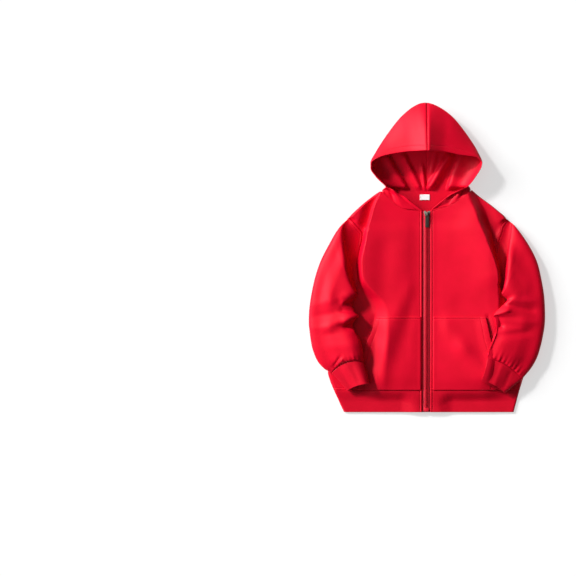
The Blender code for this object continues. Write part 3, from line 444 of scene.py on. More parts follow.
    def hood_grid(self, k: int, folds: Table) -> Array:
        """Hood half: each row runs rim, side, under, then along the back to the middle seam.

        Args:
            k: Steps between the named rows and cells.
            folds: Creases on the inside of the hood's back, in x and y.

        Returns:
            Rows x columns x 3, from the neck seam to the seam over the head.
        """
        steps = refine(len(HOOD_STATIONS) - 1, k)
        at = np.interp(steps, range(len(HOOD_STATIONS)), HOOD_STATIONS)
        v = np.array([along(range(len(self.hood)), c, at) for c in columns(self.hood)])
        t = np.interp(refine(RIM_CELLS, k), range(RIM_CELLS + 1), NECK_AT + (1,))
        turn = np.linspace(0, math.pi / 2, CURL_CELLS * k + 1)[1:]
        back = np.linspace(0, 1, BACK_CELLS * k + 1)[1:]
        neck = path(self.neck, t)
        neck = np.column_stack([neck, self.front_top(neck[:, 0], neck[:, 1])])
        held = np.clip((1 - t) / .05, 0, 1)[:, None] * (neck - self.hood_bend(self.hood[0], t))
        grid = []
        for i, s in enumerate(at):
            side = v[6:9, i]
            foot, middle = np.array([v[9, i], v[10, i], 0.0]), np.array([0.0, v[11, i], 0.0])
            bend = self.hood_bend(v[:, i], t) + held * max(0.0, 1 - s) ** HOLD_POWER
            curl = foot + (side - foot) * np.cos(turn)[:, None] * np.array([1, 1, 0])
            curl[:, 2] = side[2] * (1 - np.sin(turn))
            chord = side + (foot - side) * (turn / (math.pi / 2))[:, None]
            flat = foot + (middle - foot) * back[:, None]
            grid.append(np.vstack([bend, curl * CURL_ROUND + chord * CURL_FLAT, flat]))
        grid = np.array(grid)
        part = np.zeros(grid.shape[1])
        part[RIM_CELLS * k:(RIM_CELLS + CURL_CELLS) * k + 1] = np.linspace(0, 1, CURL_CELLS * k + 1)
        part[(RIM_CELLS + CURL_CELLS) * k:] = 1
        lift = creases(folds, self.sign * grid[..., 0], grid[..., 1])
        lift = np.maximum(lift, -1.0) * ease((grid[..., 1] - 157) / 14)
        grid[..., 2] += lift * part * (grid[..., 2] < HOOD_LOW)
        roof = (1 - part) * ease((grid[..., 1] - 200) / 40)
        grid[..., 2] -= CROWN_DEEP * bell(grid[..., 0] / CROWN_WIDE) * roof
        eased = creases(NECK_WRINKLES, grid[..., 0], grid[..., 1]) * (1 - part)
        grid[..., 2] += eased * ease((178 - grid[..., 1]) / 14)
        return grid

    def pocket_grid(self, k: int, inner: float) -> Array:
        """The pocket's face, made from the front's own points and moved out."""
        rows = []
        for line in self.front_grid(k)[:(HIP_STEPS - 2) * k + 1]:
            up = line[0, 1]
            edge = float(self.plan(self.pocket, up))
            flat = line[:FLAT_CELLS * k + 1, 0].copy()
            flat[flat < inner] = inner
            flat[:2 * k + 1] = np.linspace(inner, flat[2 * k], 2 * k + 1)
            start = flat[2 * k]
            squeeze = min(1, (edge - MOUTH_STRIP - start) / (flat[-1] - start))
            flat[2 * k:] = start + (flat[2 * k:] - start) * squeeze
            out = np.concatenate([flat, np.linspace(flat[-1], edge, 3 * k + 1)[1:]])
            z, y = (np.interp(out, line[:, 0], line[:, c]) for c in (2, 1))
            mid = ease((up + 312) / 50) * ease((self.pocket_top + 12 - up) / 40)
            lift = self.pocket_lift * mid * ease((out - flat[-1] + 18) / (edge - flat[-1] + 8))
            rows.append(np.column_stack([out, y, z + POCKET_WALL + POCKET_GAP + lift]))
        return np.array(rows)


LEFT = HalfCut(
    tag="l", sign=-1, zip_edge=11.5,
    side=((220.9, -315.9), (229.9, -293.6), (235.4, -272.9), (233.7, -254.0), (228.0, -229.4),
          (222.5, -200.9), (215.5, -167.7), (207.0, -139.2), (195.5, -112.0), (182.0, -93.0),
          (166.2, -82.2)),
    hem_out=197.1, shoulder_rise=8.5, seam_shown=46,
    arm_z=((0, 4.6), (.04, 7.2), (.1, 11.5), (.16, 10.5), (.22, 7.4), (.30, 5.8), (.45, 5.4), (.85, 5.2),
           (1, 4.6)),
    arm_front=((185.2, 95.2), (176.9, 86.4), (168.6, 76.9), (159.1, 66.3), (152.8, 56.8),
               (154.4, 41.3), (160.3, 17.6), (165.4, -10.9), (165.0, -32.3), (163.4, -53.7),
               (164.4, -67.9), (166.2, -82.2)),
    arm_back=((185.2, 95.2), (181.7, 53.2), (176.9, 5.7), (171.0, -41.8), (166.2, -82.2)),
    shoulder=((185.2, 95.2), (178.1, 103.1), (163.9, 116.6), (149.6, 129.2), (135.4, 140.4),
              (121.1, 151.0), (110.4, 158.2)),
    neck=((11.5, 111.7), (19.0, 111.9), (35.6, 112.6), (49.9, 114.5), (64.1, 119.2),
          (76.0, 126.8), (87.9, 136.3), (97.4, 145.8), (109.7, 157.0)),
    fold=((160, 113.5, 6, 12), (150.6, 115.9, 5.5, 12), (133.9, 124.2, 5.5, 11),
          (114.9, 131.3, 5.5, 10), (100.7, 134.9, 5.5, 9), (76.9, 142.2, 5.5, 8.4),
          (55.6, 149.4, 5.5, 7.8), (34.2, 156.8, 5.5, 7), (12.8, 163.2, 6, 6.4),
          (-6.2, 167.6, 7, 6), (-20.4, 168.6, 8, 6), (-32.3, 166.8, 9, 6),
          (-51.3, 162.0, 13, 6), (-68, 156, 20, 7), (-86, 148, 30, 8.5), (-103, 141, 40, 10),
          (-125, 134, 42, 10.5), (-150, 130, 40, 11), (-184, 128, 38, 11), (-215, 130, 38, 11),
          (-244, 134, 40, 10.5), (-275, 140, 44, 10), (-316, 150, 52, 9), (-368, 154, 54, 9)),
    fold_crisp=1.0,
    front_creases=((45, -92, 97, -212, -5, 22, 24, 3.2, 34), (40, -118, 92, -303, 0, 24, 24, -2.2, 44),
                   (99, 20, 112, -128, 0, 26, 26, -2.6, 34), (60, 60, 70, -30, 0, 34, 34, 1.5, 44),
                   (222, -268, 214, -308, 0, 8, 16, 6, 10)),
    rings=((191.5, 88.0, 167.2, -80.2, 5.0, 4.8, 14, 15, 7),
           (204.0, 76.0, 167.8, -81.4, 8.0, 4.0, 30, 36, 20),
           (218.0, 57.0, 167.8, -83.6, 5.5, 3.0, 33, 41, 33),
           (232.6, 31.0, 167.2, -86.0, 2.4, 0, 32, 41, 40),
           (250.6, -3.8, 165.8, -90.2, 0, 0, 31, 41, 43),
           (264.3, -41.8, 172.2, -97.9, 0, 0, 31, 41, 43),
           (273.6, -82.2, 179.0, -110.0, 0, 0, 31, 41, 38),
           (278.9, -115.4, 172.0, -128.5, 0, 0, 31, 41, 44),
           (280.5, -136.8, 162.7, -139.9, 0, 0, 31, 41, 47),
           (280.7, -158.2, 171.6, -149.4, 0, 0, 31, 41, 45),
           (279.0, -174.8, 177.0, -161.0, 0, 0, 31, 41, 39),
           (276.2, -196.2, 170.8, -175.5, 0, 0, 31, 41, 45),
           (271.2, -219.9, 157.9, -198.6, 0, 0, 31, 42, 49),
           (260.1, -246.1, 152.0, -224.7, 0, 0, 30, 42, 49),
           (244.6, -263.9, 151.3, -238.9, -5.9, 0, 29, 41, 46),
           (226.8, -274.1, 150.6, -247.5, -11.9, -2.4, 27, 38, 42)),
    sleeve_creases=((165.5, -91, 197, -107, 0, 15, 2.2, 6.0, 7), (170, -124, 200, -127, 0, 8, 4, -3.6, 8),
                    (163, -140, 192, -157, 0, 13, 2.2, 6.0, 7), (168, -166, 190, -164, 0, 7, 7, -4.5, 7),
                    (196, -92, 270, -112, 3, 10, 8, 1.4, 16), (188, -118, 262, -138, 2, 9, 9, -1.6, 16),
                    (196, -152, 268, -168, 3, 10, 9, 1.4, 16), (190, -176, 236, -182, 0, 8, 8, -1.4, 12),
                    (150, -205, 222, -212, 0, 13, 13, 1.8, 20), (228, 20, 236, -96, 0, 14, 18, 2.4, 26),
                    (226, -266, 209, -240, 0, 4, 3, -3.2, 6), (217, -262, 203, -243, 0, 4, 4, 1.8, 6)),
    gathers=((.10, .03, 1.4, 10), (.19, .025, 2.4, 17), (.29, .032, 2.0, 13), (.38, .022, 1.7, 21),
             (.47, .03, 2.5, 14), (.58, .025, 1.8, 19), (.66, .03, 2.3, 12), (.77, .025, 1.9, 18),
             (.87, .025, 1.5, 11)),
    cuff=((226.4, -274.6, 150.5, -247.9, -11.9, -2.4, 27, 38, 42),
          (206.0, -296.5, 142.8, -274.0, -7.0, -1.0, 27, 38, 42),
          (189.3, -318.0, 135.4, -300.7, -5.0, 0, 26, 38, 42)),
    cuff_creases=((196, -268, 178, -305, 0, 6, 9, 1.2, 10), (176, -262, 164, -290, 0, 7, 5, -1.0, 9)),
    pocket=((119.9, -141.6), (125.9, -160.6), (133.0, -179.6), (142.5, -200.9), (149.6, -217.6),
            (156.8, -234.2), (161.5, -253.2), (163.9, -281.7), (163.9, -315.2)),
    pocket_top=-141.6, pocket_lift=2.4,
    mouth=((123.5, -142, 152, -214, 3, 4, 2.5, -2.2, 5),),
    hood=((11.5, 111.9, 18, 75.5, 106.9, 22, 106.9, 158.9, 9, 83.1, 155.3, 155.3),
          (54.6, 143.4, 28, 83.1, 154.1, 28, 103.3, 162.9, 19, 71.2, 161.3, 164.8),
          (97.4, 168.4, 36, 97.6, 168.0, 35, 98.6, 167.2, 29, 54.6, 171.9, 179.1),
          (121.1, 190.9, 42, 121.5, 190.9, 40, 121.9, 190.5, 35, 61.8, 200.4, 202.8),
          (133.5, 209.9, 46, 134.2, 210.2, 44, 134.9, 211.1, 39, 78.4, 221.8, 228.9),
          (133.2, 223.7, 50, 134.1, 224.2, 47, 134.9, 224.8, 41, 87.9, 243.2, 259.8),
          (111.6, 238.4, 50, 117.6, 245.6, 48, 121.1, 251.5, 36, 97.4, 264.6, 283.6),
          (76.0, 246.8, 54, 90.2, 271.7, 45, 97.4, 288.3, 29, 80.8, 290.7, 312.1),
          (40.4, 251.3, 62, 53.4, 307.3, 46, 59.4, 336.3, 26, 49.9, 328.7, 338.2),
          (20.5, 252.2, 71, 27.4, 321.5, 51, 30.9, 358.9, 25, 27.0, 349.0, 348.5),
          (8.6, 252.6, 78, 11.4, 329.0, 56, 14.0, 366.3, 25, 11.5, 355.6, 352.0),
          (0.0, 252.7, 84, 0.0, 331.1, 60, 0.0, 367.9, 25, 0.0, 357.2, 352.4)),
)
RIGHT = HalfCut(
    tag="r", sign=1, zip_edge=8.0,
    side=((220.4, -315.9), (227.3, -293.6), (231.6, -276.9), (230.6, -256.0), (225.6, -229.4),
          (219.3, -200.9), (213.5, -167.7), (207.0, -139.2), (199.5, -112.0), (190.5, -94.0),
          (176.9, -82.2)),
    hem_out=206.6, shoulder_rise=5.5, seam_shown=24,
    arm_z=((0, 4.6), (.04, 7.0), (.1, 10.5), (.2, 11.5), (.32, 9.6), (.45, 7.6), (.6, 6.2), (.85, 5.4),
           (1, 4.6)),
    arm_front=((190.0, 91.2), (183.0, 82.9), (177.0, 73.4), (173.4, 60.3), (166.6, 41.3),
               (162.6, 24.7), (167.4, 0.9), (174.6, -18.1), (179.3, -32.3), (180.2, -51.3),
               (178.6, -67.9), (176.9, -82.2)),
    arm_back=((190.0, 91.2), (187.4, 53.2), (183.6, 5.7), (179.6, -41.8), (176.9, -82.2)),
    shoulder=((190.0, 91.2), (184.6, 98.4), (173.4, 107.8), (154.4, 123.3), (137.8, 135.6),
              (121.1, 148.2), (105.7, 161.7)),
    neck=((8.0, 111.9), (14.2, 113.4), (26.1, 116.6), (42.8, 120.2), (59.4, 126.8),
          (78.4, 137.5), (92.6, 147.0), (105.7, 160.8)),
    fold=((162, 110.0, 17, 12), (155.3, 113.6, 19, 12), (137, 123, 24, 10.5),
          (112.6, 137, 26, 9), (84.1, 147, 26, 7.6), (57.9, 156, 23, 6.6),
          (36.6, 160.5, 18, 6), (18, 165.4, 16, 5.8), (3.3, 169.8, 15, 5.8),
          (-15, 175.0, 14, 5.8), (-32.3, 180.5, 15, 6), (-50, 187, 20, 7),
          (-68, 192, 26, 8), (-90, 195, 28, 9), (-115, 197, 30, 10), (-145, 197, 32, 10),
          (-175, 195, 34, 13), (-205, 191, 36, 16), (-240, 187, 38, 18), (-275, 186, 44, 17),
          (-316, 196, 64, 9), (-368, 198, 74, 7)),
    fold_crisp=.2,
    front_creases=((46, -166, 86, -216, 0, 21, 21, 3.5, 27), (86, -216, 130, -270, 0, 19, 19, 4.0, 25),
                   (121, 84, 165, -32, -3, 14, 46, 8.5, 38), (84, -112, 128, -132, 0, 22, 22, -2.0, 28)),
    rings=((200.0, 83.3, 179.6, -79.4, -1.0, 4.8, 6, 3.8, 6),
           (203.5, 80.4, 179.2, -81.4, -.4, 4.0, 16, 27, 22),
           (213.0, 70.5, 178.6, -83.6, 2.6, 3.0, 22, 34, 36),
           (230.4, 47.3, 178.2, -85.2, 2.4, 0, 25, 34, 40),
           (249.4, 16.4, 177.2, -87.4, 0, 0, 26, 34, 41),
           (263.2, -14.5, 181.7, -92.9, 0, 0, 27, 34, 41),
           (272.5, -53.7, 190.0, -101.7, 0, 0, 28, 35, 40),
           (278.3, -89.3, 175.8, -116.6, 0, 0, 30, 36, 40),
           (280.4, -120.2, 157.9, -135.9, 0, 0, 30, 37, 42),
           (280.7, -143.9, 160.5, -143.2, 0, 0, 30, 37, 38),
           (279.3, -165.3, 163.0, -156.2, 0, 0, 30, 37, 36),
           (275.6, -186.7, 163.6, -173.0, 0, 0, 30, 37, 40),
           (270.4, -210.4, 157.0, -193.8, 0, 0, 30, 38, 42),
           (261.2, -238.9, 146.3, -219.9, 0, 0, 30, 39, 43),
           (247.0, -263.9, 143.4, -232.3, -3.6, 0, 28, 38, 41),
           (225.6, -288.8, 143.0, -238.5, -8.3, -2.4, 29, 35, 37)),
    sleeve_creases=((174, -94, 192, -107, 0, 8, 2.6, 3.0, 6), (160, -137, 190, -128, 0, 10, 3, 3.5, 8),
                    (184, -113, 246, -125, 0, 9, 6, -2.6, 14), (164, -152, 176, -162, 0, 5, 5, -4.0, 6),
                    (172, -186, 232, -178, 0, 8, 10, -2.6, 16), (190, -152, 250, -154, 0, 9, 9, 1.8, 18),
                    (186, -100, 246, -104, 0, 8, 8, 1.6, 16)),
    gathers=((.12, .025, 1.5, 12), (.22, .03, 2.3, 16), (.33, .025, 1.8, 20), (.43, .03, 2.4, 13),
             (.52, .022, 1.6, 18), (.62, .03, 2.2, 14), (.73, .025, 2.4, 19), (.84, .025, 1.6, 11)),
    cuff=((225.3, -289.2, 142.9, -239.0, -8.3, -2.4, 29, 35, 37),
          (205.0, -306.2, 137.0, -266.0, -5.0, 0, 29, 34, 36),
          (185.5, -322.0, 128.4, -291.0, -3.5, 1.0, 27, 32, 34)),
    cuff_creases=((176, -262, 160, -300, 0, 8, 6, 1.2, 10), (196, -276, 184, -306, 0, 5, 7, -1.0, 9)),
    pocket=((138.9, -139.2), (142.5, -155.8), (147.2, -177.2), (150.8, -193.8), (155.6, -210.4),
            (161.5, -229.4), (166.2, -248.4), (168.6, -281.7), (168.6, -315.2)),
    pocket_top=-139.2, pocket_lift=2.4,
    mouth=((142.8, -142, 158.5, -207, 1, 5, 2.5, -3.2, 5),),
    hood=((8.0, 112.1, 18, 59.4, 115.9, 22, 104.5, 160.1, 9, 83.1, 156.0, 155.3),
          (49.9, 144.6, 28, 78.4, 156.5, 28, 102.1, 165.8, 19, 66.5, 162.4, 164.8),
          (97.4, 169.1, 36, 97.6, 169.1, 35, 98.4, 168.9, 29, 54.6, 171.9, 179.1),
          (116.4, 193.3, 42, 116.7, 193.3, 40, 117.0, 193.1, 35, 59.4, 200.4, 202.8),
          (128.2, 214.7, 43, 128.8, 214.7, 42, 129.3, 214.9, 37, 68.9, 221.8, 228.9),
          (129.7, 224.7, 44, 130.3, 225.0, 43, 130.9, 225.6, 38, 78.4, 243.2, 259.8),
          (114.0, 238.4, 47, 117.6, 245.6, 44, 119.9, 251.5, 34, 95.0, 264.6, 283.6),
          (80.8, 242.5, 54, 90.2, 269.3, 44, 96.6, 288.8, 29, 78.4, 290.7, 312.1),
          (40.4, 250.3, 62, 51.1, 307.3, 44, 58.0, 336.3, 26, 47.5, 328.7, 338.2),
          (20.5, 251.8, 71, 26.6, 320.0, 50, 30.2, 356.3, 25, 26.0, 347.0, 348.5),
          (8.6, 252.5, 78, 11.4, 328.0, 55, 13.5, 364.1, 25, 11.5, 354.8, 352.0),
          (0.0, 252.7, 84, 0.0, 331.1, 60, 0.0, 367.9, 25, 0.0, 357.2, 352.4)),
)
# folds on the inside of the hood's back, in x and y
HOOD_FOLDS = ((-52, 234, -14, 158, 0, 6, 8, 6.5, 14), (-10, 204, -5, 158, 0, 4, 4, 5, 16),
              (52, 242, 0, 156, 0, 11, 6, 12, 12), (78, 242, 50, 156, 0, 20, 4, 11, 14),
              (-94, 238, -45, 156, 0, 4.5, 20, 10, 14), (1, 244, 0, 157, 0, 2.4, 2.4, -2.5, 8),
              (22, 250, 12, 206, 0, 5, 5, 3, 10))
# wrinkles where the hood is eased into the neck seam, in out and up
NECK_WRINKLES = ((92, 166, 83, 150, 0, 4, 3.4, -4.2, 5), (67, 151, 46, 126, 2, 4.2, 3.4, -3.8, 6),
                 (79, 156, 67, 139, 0, 5, 4, 1.8, 6), (50, 140, 34, 120, 0, 4, 4, 1.4, 6),
                 (31, 124, 22, 114, 0, 3.4, 3, -2.0, 4))


def hem_height(top: Array, down: Array | float, far: Array | float = 0.0) -> Array:
    """Height of the hem band's face.

    Args:
        top: Height of the front at the seam above it.
        down: 0 at the seam and 1 at the band's lower edge; less than 0 is the front itself.
        far: 0 beside the zip and 1 well away from it.

    Returns:
        The height at each place.
    """
    end = HEM_EDGE + HEM_KEEP * (top - HEM_LEVEL) - HEM_SINK * far
    return top + (end - top) * ease(down * (HEM_PACE + HEM_PACE_MORE * far))


def zip_height(up: Array) -> Array:
    """Height of the cloth's face beside the zip."""
    top = LEFT.front_top(np.full(up.shape, ZIP_SIDE), np.maximum(up, HEM_TOP))
    return hem_height(top, (HEM_TOP - up) / (HEM_TOP - HEM_END))


# ---------------------------------------------------------------------------------- edges
STITCH_MARKS = (-1.5, -.8, -.3, .3, .8, 1.5)    # rows of points at a line of stitches
STITCH_DIP = .75                                # half width of the groove that it draws in


class Side(Enum):
    """A side of a piece's grid of points."""

    FIRST = "first row"
    LAST = "last row"
    INNER = "first column"
    OUTER = "last column"


@dataclass(frozen=True)
class EdgeCut:
    """How the cloth's edge is made up, in millimetres from the edge.

    The face drops by `roll` over `roll_wide`, the back rises by `rise`, and each line of topstitching
    draws the face in by `draw` so that the cloth between it and the edge stands up by `puff`.
    """

    roll: float
    roll_wide: float = 2.2
    rise: float = 0.0
    stitches: tuple[float, ...] = ()
    draw: float = .55
    puff: float = 0.0

    def marks(self) -> Array:
        """Distances from the edge at which the piece needs a row of points."""
        marks = [m * self.roll_wide for m in (0, .12, .35, .65, 1.0)]
        for s in self.stitches:
            marks = [m for m in marks if m < s - 1.6] + [s + m for m in STITCH_MARKS]
        last = marks[-1]
        return np.array(marks + [last + 1.5, last + 3.5])

    def turn(self, d: Array) -> Array:
        """Quarter round at distances d: 1 at the edge and 0 past `roll_wide`."""
        t = np.clip(d / self.roll_wide, 0, 1)
        return 1 - np.sqrt(np.clip(1 - (1 - t) ** 2, 0, 1))

    def sink(self, d: Array) -> Array:
        """How far the face lies below its plain form at distances d."""
        low = self.roll * self.turn(d)
        for s in self.stitches:
            low = low + self.draw * bell((d - s) / STITCH_DIP)
        if self.stitches:
            low = low - self.puff * np.sin(np.clip(d / self.stitches[0], 0, 1) * math.pi)
        return low

    def lift(self, d: Array) -> Array:
        """How far the back lies toward the face at distances d."""
        return self.rise * self.turn(d)

    def line(self, which: int = 0) -> int:
        """Number of the row of points that a line of topstitching follows."""
        return int(np.argmin(np.abs(self.marks() - self.stitches[which])))


SEAM = EdgeCut(roll=1.3, roll_wide=2.4)
HIDDEN_SEAM = EdgeCut(roll=.2, roll_wide=2.4)
CUFF_SEAM = EdgeCut(roll=.8, roll_wide=1.6)
PLAIN_FOLD = EdgeCut(roll=1.0, roll_wide=1.6, rise=1.0)
NECK_SEAM = EdgeCut(roll=1.3, stitches=(5.2,), draw=.6, puff=.35)
ZIP_FOLD = EdgeCut(roll=.9, roll_wide=1.9, rise=.8, stitches=(5.2,), draw=.8, puff=.5)
HEM_SEAM = EdgeCut(roll=1.4, stitches=(4.8,), draw=.6, puff=.3)
ARMHOLE_SEAM = EdgeCut(roll=1.4, stitches=(6.0,), draw=.6, puff=.4)
ARMHOLE_HIDDEN = EdgeCut(roll=.5, stitches=(6.0,), draw=0.0, puff=0.0)
POCKET_TOP = EdgeCut(roll=.9, roll_wide=1.2, rise=.5, stitches=(5.0,), draw=.6, puff=.2)
POCKET_MOUTH = EdgeCut(roll=.9, roll_wide=1.8, rise=.8, stitches=(16.5,), draw=.6, puff=.25)
POCKET_ZIP = EdgeCut(roll=2.6, roll_wide=4.0)
CROWN_SEAM = EdgeCut(roll=1.9, roll_wide=3.0, rise=.9)
BACK_SEAM = EdgeCut(roll=.2, roll_wide=3.0, rise=1.0)
HOOD_RIM = EdgeCut(roll=1.0, roll_wide=2.0, rise=1.0, stitches=(13.0,), draw=.3, puff=.12)


# ---------------------------------------------------------------------------------- cloth
THIN_FACE, THIN_BACK = .45, .2      # least wall left where the face sinks, and where the back lifts too


def put(name: str, data: bpy.types.ID) -> bpy.types.Object:
    """Make an object and link it into the scene, at the origin."""
    obj = bpy.data.objects.new(name, data)
    bpy.context.scene.collection.objects.link(obj)
    return obj


class Cloth:
    """A wall of cloth on a grid of points, with made-up edges.

    The grid has five channels: x, y, z, how far the face sinks and how far the back lifts.
    """

    def __init__(self, name: str, grid: Array, wall: float, closed: bool = False, sign: int = 1) -> None:
        """Start from plain points.

        Args:
            name: The piece's name.
            grid: Rows x columns x 3 in millimetres.
            wall: Thickness of the cloth.
            closed: True where the last column meets the first.
            sign: -1 mirrors the grid to -X.
        """
        self.name, self.wall, self.closed = name, wall, closed
        self.grid = np.dstack([grid * np.array([sign, 1, 1]), np.zeros(grid.shape[:2] + (2,))])

    @staticmethod
    def turned(side: Side, grid: Array) -> Array:
        """Show the grid with the given side as its first row."""
        if side in (Side.INNER, Side.OUTER):
            swapped = grid.swapaxes(0, 1)
            return swapped[::-1] if side is Side.OUTER else swapped
        return grid[::-1] if side is Side.LAST else grid

    @staticmethod
    def restored(side: Side, grid: Array) -> Array:
        """Undo `turned`."""
        if side is Side.LAST:
            return grid[::-1]
        if side is Side.FIRST:
            return grid
        return (grid[::-1] if side is Side.OUTER else grid).swapaxes(0, 1)

    def make_edge(self, side: Side, edge: EdgeCut, share: Array | None = None,
                  other: EdgeCut | None = None) -> None:
        """Set rows of points at an edge's own distances and shape its roll and stitch lines.

        Args:
            side: Which side of the grid.
            edge: How it is made up.
            share: For each point along the side, how far `edge` holds there, 0 to 1.
            other: What holds for the rest; it has the same marks.
        """
        g = self.turned(side, self.grid)
        marks = edge.marks()
        step = np.linalg.norm(np.diff(g[..., :3], axis=0), axis=2)
        reach = np.vstack([np.zeros(g.shape[1]), np.cumsum(step, axis=0)])
        deep = np.median(reach, axis=1) > marks[-1] * 1.15
        inside = int(np.argmax(deep)) if deep.any() else len(g) // 2
        inside = max(2, min(inside, len(g) // 2))
        scale = np.minimum(1, .85 * reach[inside] / marks[-1])
        rows = np.empty((len(marks),) + g.shape[1:])
        for c in range(g.shape[1]):
            for ch in range(g.shape[2]):
                rows[:, c, ch] = np.interp(marks * scale[c], reach[:inside + 1, c], g[:inside + 1, c, ch])
        share = np.ones(g.shape[1]) if share is None else share
        rest = other or edge
        for ch, made in ((3, lambda e: e.sink(marks)), (4, lambda e: e.lift(marks))):
            rows[..., ch] += (np.outer(made(edge), share) + np.outer(made(rest), 1 - share)) * scale
        self.grid = self.restored(side, np.concatenate([rows, g[inside:]]))

    def even_columns(self, pitch: float) -> None:
        """Space the columns evenly, about `pitch` apart on the first row."""
        g = np.concatenate([self.grid, self.grid[:, :1]], axis=1) if self.closed else self.grid
        reach = np.cumsum(np.linalg.norm(np.diff(g[..., :3], axis=1), axis=2), axis=1)
        reach = np.hstack([np.zeros((len(g), 1)), reach])
        count = int(round(reach[0, -1] / pitch / 4)) * 4
        f = np.arange(count + (0 if self.closed else 1)) / count
        self.grid = np.array([[np.interp(f * r[-1], r, row[:, c]) for c in range(5)]
                              for r, row in zip(reach, g)]).transpose(0, 2, 1)

    def rib(self, per_rib: int, depth: float) -> None:
        """Press upright ribs into the face, `per_rib` columns each."""
        wave = .5 + .5 * np.cos(np.arange(self.grid.shape[1]) * 2 * math.pi / per_rib)
        self.grid[..., 3] += depth * wave

    def outward(self) -> Array:
        """Directions from the middle of each row to its points, for a tube."""
        xyz = self.grid[..., :3]
        return xyz - xyz.mean(axis=1, keepdims=True)

    def normals(self) -> Array:
        """Unit normals of the plain form, smoothed over neighbours."""
        xyz = self.grid[..., :3]
        if self.closed:
            around = np.roll(xyz, -1, 1) - np.roll(xyz, 1, 1)
        else:
            around = np.gradient(xyz, axis=1)
        n = np.cross(around, np.gradient(xyz, axis=0))
        n /= np.maximum(np.linalg.norm(n, axis=-1, keepdims=True), 1e-9)
        return n

    def faced(self, up: Array) -> Array:
        """Normals turned so that, on the whole, they agree with the directions `up`."""
        n = self.normals()
        return n if float((n * up).sum(-1).mean()) > 0 else -n

    def layers(self, n: Array) -> tuple[Array, Array]:
        """Points of the face and of the back, raised together where they would sink under the table."""
        sink = np.minimum(self.grid[..., 3], self.wall - THIN_FACE)
        face = self.grid[..., :3] - n * sink[..., None]
        lift = np.minimum(self.grid[..., 4], self.wall - THIN_BACK - np.maximum(sink, 0))
        back = self.grid[..., :3] - n * (self.wall - lift)[..., None]
        sunk = np.minimum(np.minimum(face[..., 2], back[..., 2]), 0)
        face[..., 2] -= sunk
        back[..., 2] -= sunk
        return face, back

    def build(self, up: Array, material: bpy.types.Material) -> tuple[bpy.types.Object, Array]:
        """Make the closed mesh with a UV map in metres along the cloth.

        Args:
            up: Directions that the face looks in, one for all or one a point.
            material: The cloth's finish.

        Returns:
            The piece, at the origin, and the points of its face in millimetres.
        """
        face, back = self.layers(self.faced(up))
        rows, cols = face.shape[:2]
        verts = np.vstack([face.reshape(-1, 3), back.reshape(-1, 3)]) * MM
        index = np.arange(rows * cols).reshape(rows, cols)
        ring = np.hstack([index, index[:, :1]]) if self.closed else index
        a, b, c, d = ring[:-1, :-1], ring[:-1, 1:], ring[1:, 1:], ring[1:, :-1]
        quads = np.stack([a, b, c, d], -1).reshape(-1, 4)
        other = np.stack([d, c, b, a], -1).reshape(-1, 4) + rows * cols
        rims = [(ring[0], True), (ring[-1], False)]
        if not self.closed:
            rims += [(index[:, 0], False), (index[:, -1], True)]
        strips = []
        for line, flip in rims:
            strip = np.stack([line[:-1], line[1:], line[1:] + rows * cols, line[:-1] + rows * cols], -1)
            strips.append(strip[:, ::-1] if flip else strip)
        faces = np.vstack([quads, other] + strips)
        p = verts[faces]
        volume = np.einsum("ij,ij->", p[:, 0], np.cross(p[:, 1], p[:, 2]) + np.cross(p[:, 2], p[:, 3]))
        if volume < 0:
            faces = faces[:, ::-1]
        mesh = bpy.data.meshes.new(self.name)
        mesh.from_pydata(verts.tolist(), [], faces.tolist())
        mesh.polygons.foreach_set("use_smooth", np.ones(len(faces), bool))
        self.map_cloth(mesh, face, faces)
        mesh.materials.append(material)
        mesh.update()
        return put(self.name, mesh), face

    def map_cloth(self, mesh: bpy.types.Mesh, face: Array, faces: Array) -> None:
        """Write the UV map: metres across and along the cloth, run on past a closed seam."""
        rows, cols = face.shape[:2]
        g = np.concatenate([face, face[:, :1]], axis=1) if self.closed else face
        across = np.concatenate([[0], np.cumsum(np.linalg.norm(np.diff(g, axis=1), axis=2).mean(0))])
        down = np.concatenate([[0], np.cumsum(np.linalg.norm(np.diff(g, axis=0), axis=2).mean(1))])
        at = faces % (rows * cols)
        row, col = at // cols, at % cols
        if self.closed:
            wraps = (col.max(axis=1) == cols - 1) & (col.min(axis=1) == 0)
            col = np.where(wraps[:, None] & (col == 0), cols, col)
        uv = np.stack([across[col], down[row]], -1).reshape(-1) * MM
        mesh.uv_layers.new(name="cloth").data.foreach_set("uv", uv)


# ---------------------------------------------------------------------------------- finishes
def add_node(tree: bpy.types.NodeTree, kind: str, inputs: dict | None = None, **fields) -> bpy.types.Node:
    """Add a node and set its fields and the values of its inputs."""
    node = tree.nodes.new(kind)
    for name, value in fields.items():
        setattr(node, name, value)
    for name, value in (inputs or {}).items():
        node.inputs[name].default_value = value
    return node


def principled(name: str, values: dict) -> tuple[bpy.types.Material, bpy.types.Node]:
    """Start a node material and set inputs of its shader; returns both."""
    mat = bpy.data.materials.new(name)
    mat.use_nodes = True
    shader = mat.node_tree.nodes["Principled BSDF"]
    for socket, value in values.items():
        shader.inputs[socket].default_value = value
    return mat, shader


def dye(shader: bpy.types.Node, amount: bpy.types.NodeSocket, finish: Knit | Plain,
        span: tuple[float, float]) -> None:
    """Colour the shader between a finish's two shades, over a span of a noise."""
    tree = shader.id_data
    ramp = add_node(tree, "ShaderNodeValToRGB")
    for spot, at, colour in zip(ramp.color_ramp.elements, span, (finish.shade, finish.colour)):
        spot.position, spot.color = at, colour + (1.0,)
    tree.links.new(amount, ramp.inputs["Fac"])
    tree.links.new(ramp.outputs["Color"], shader.inputs["Base Color"])


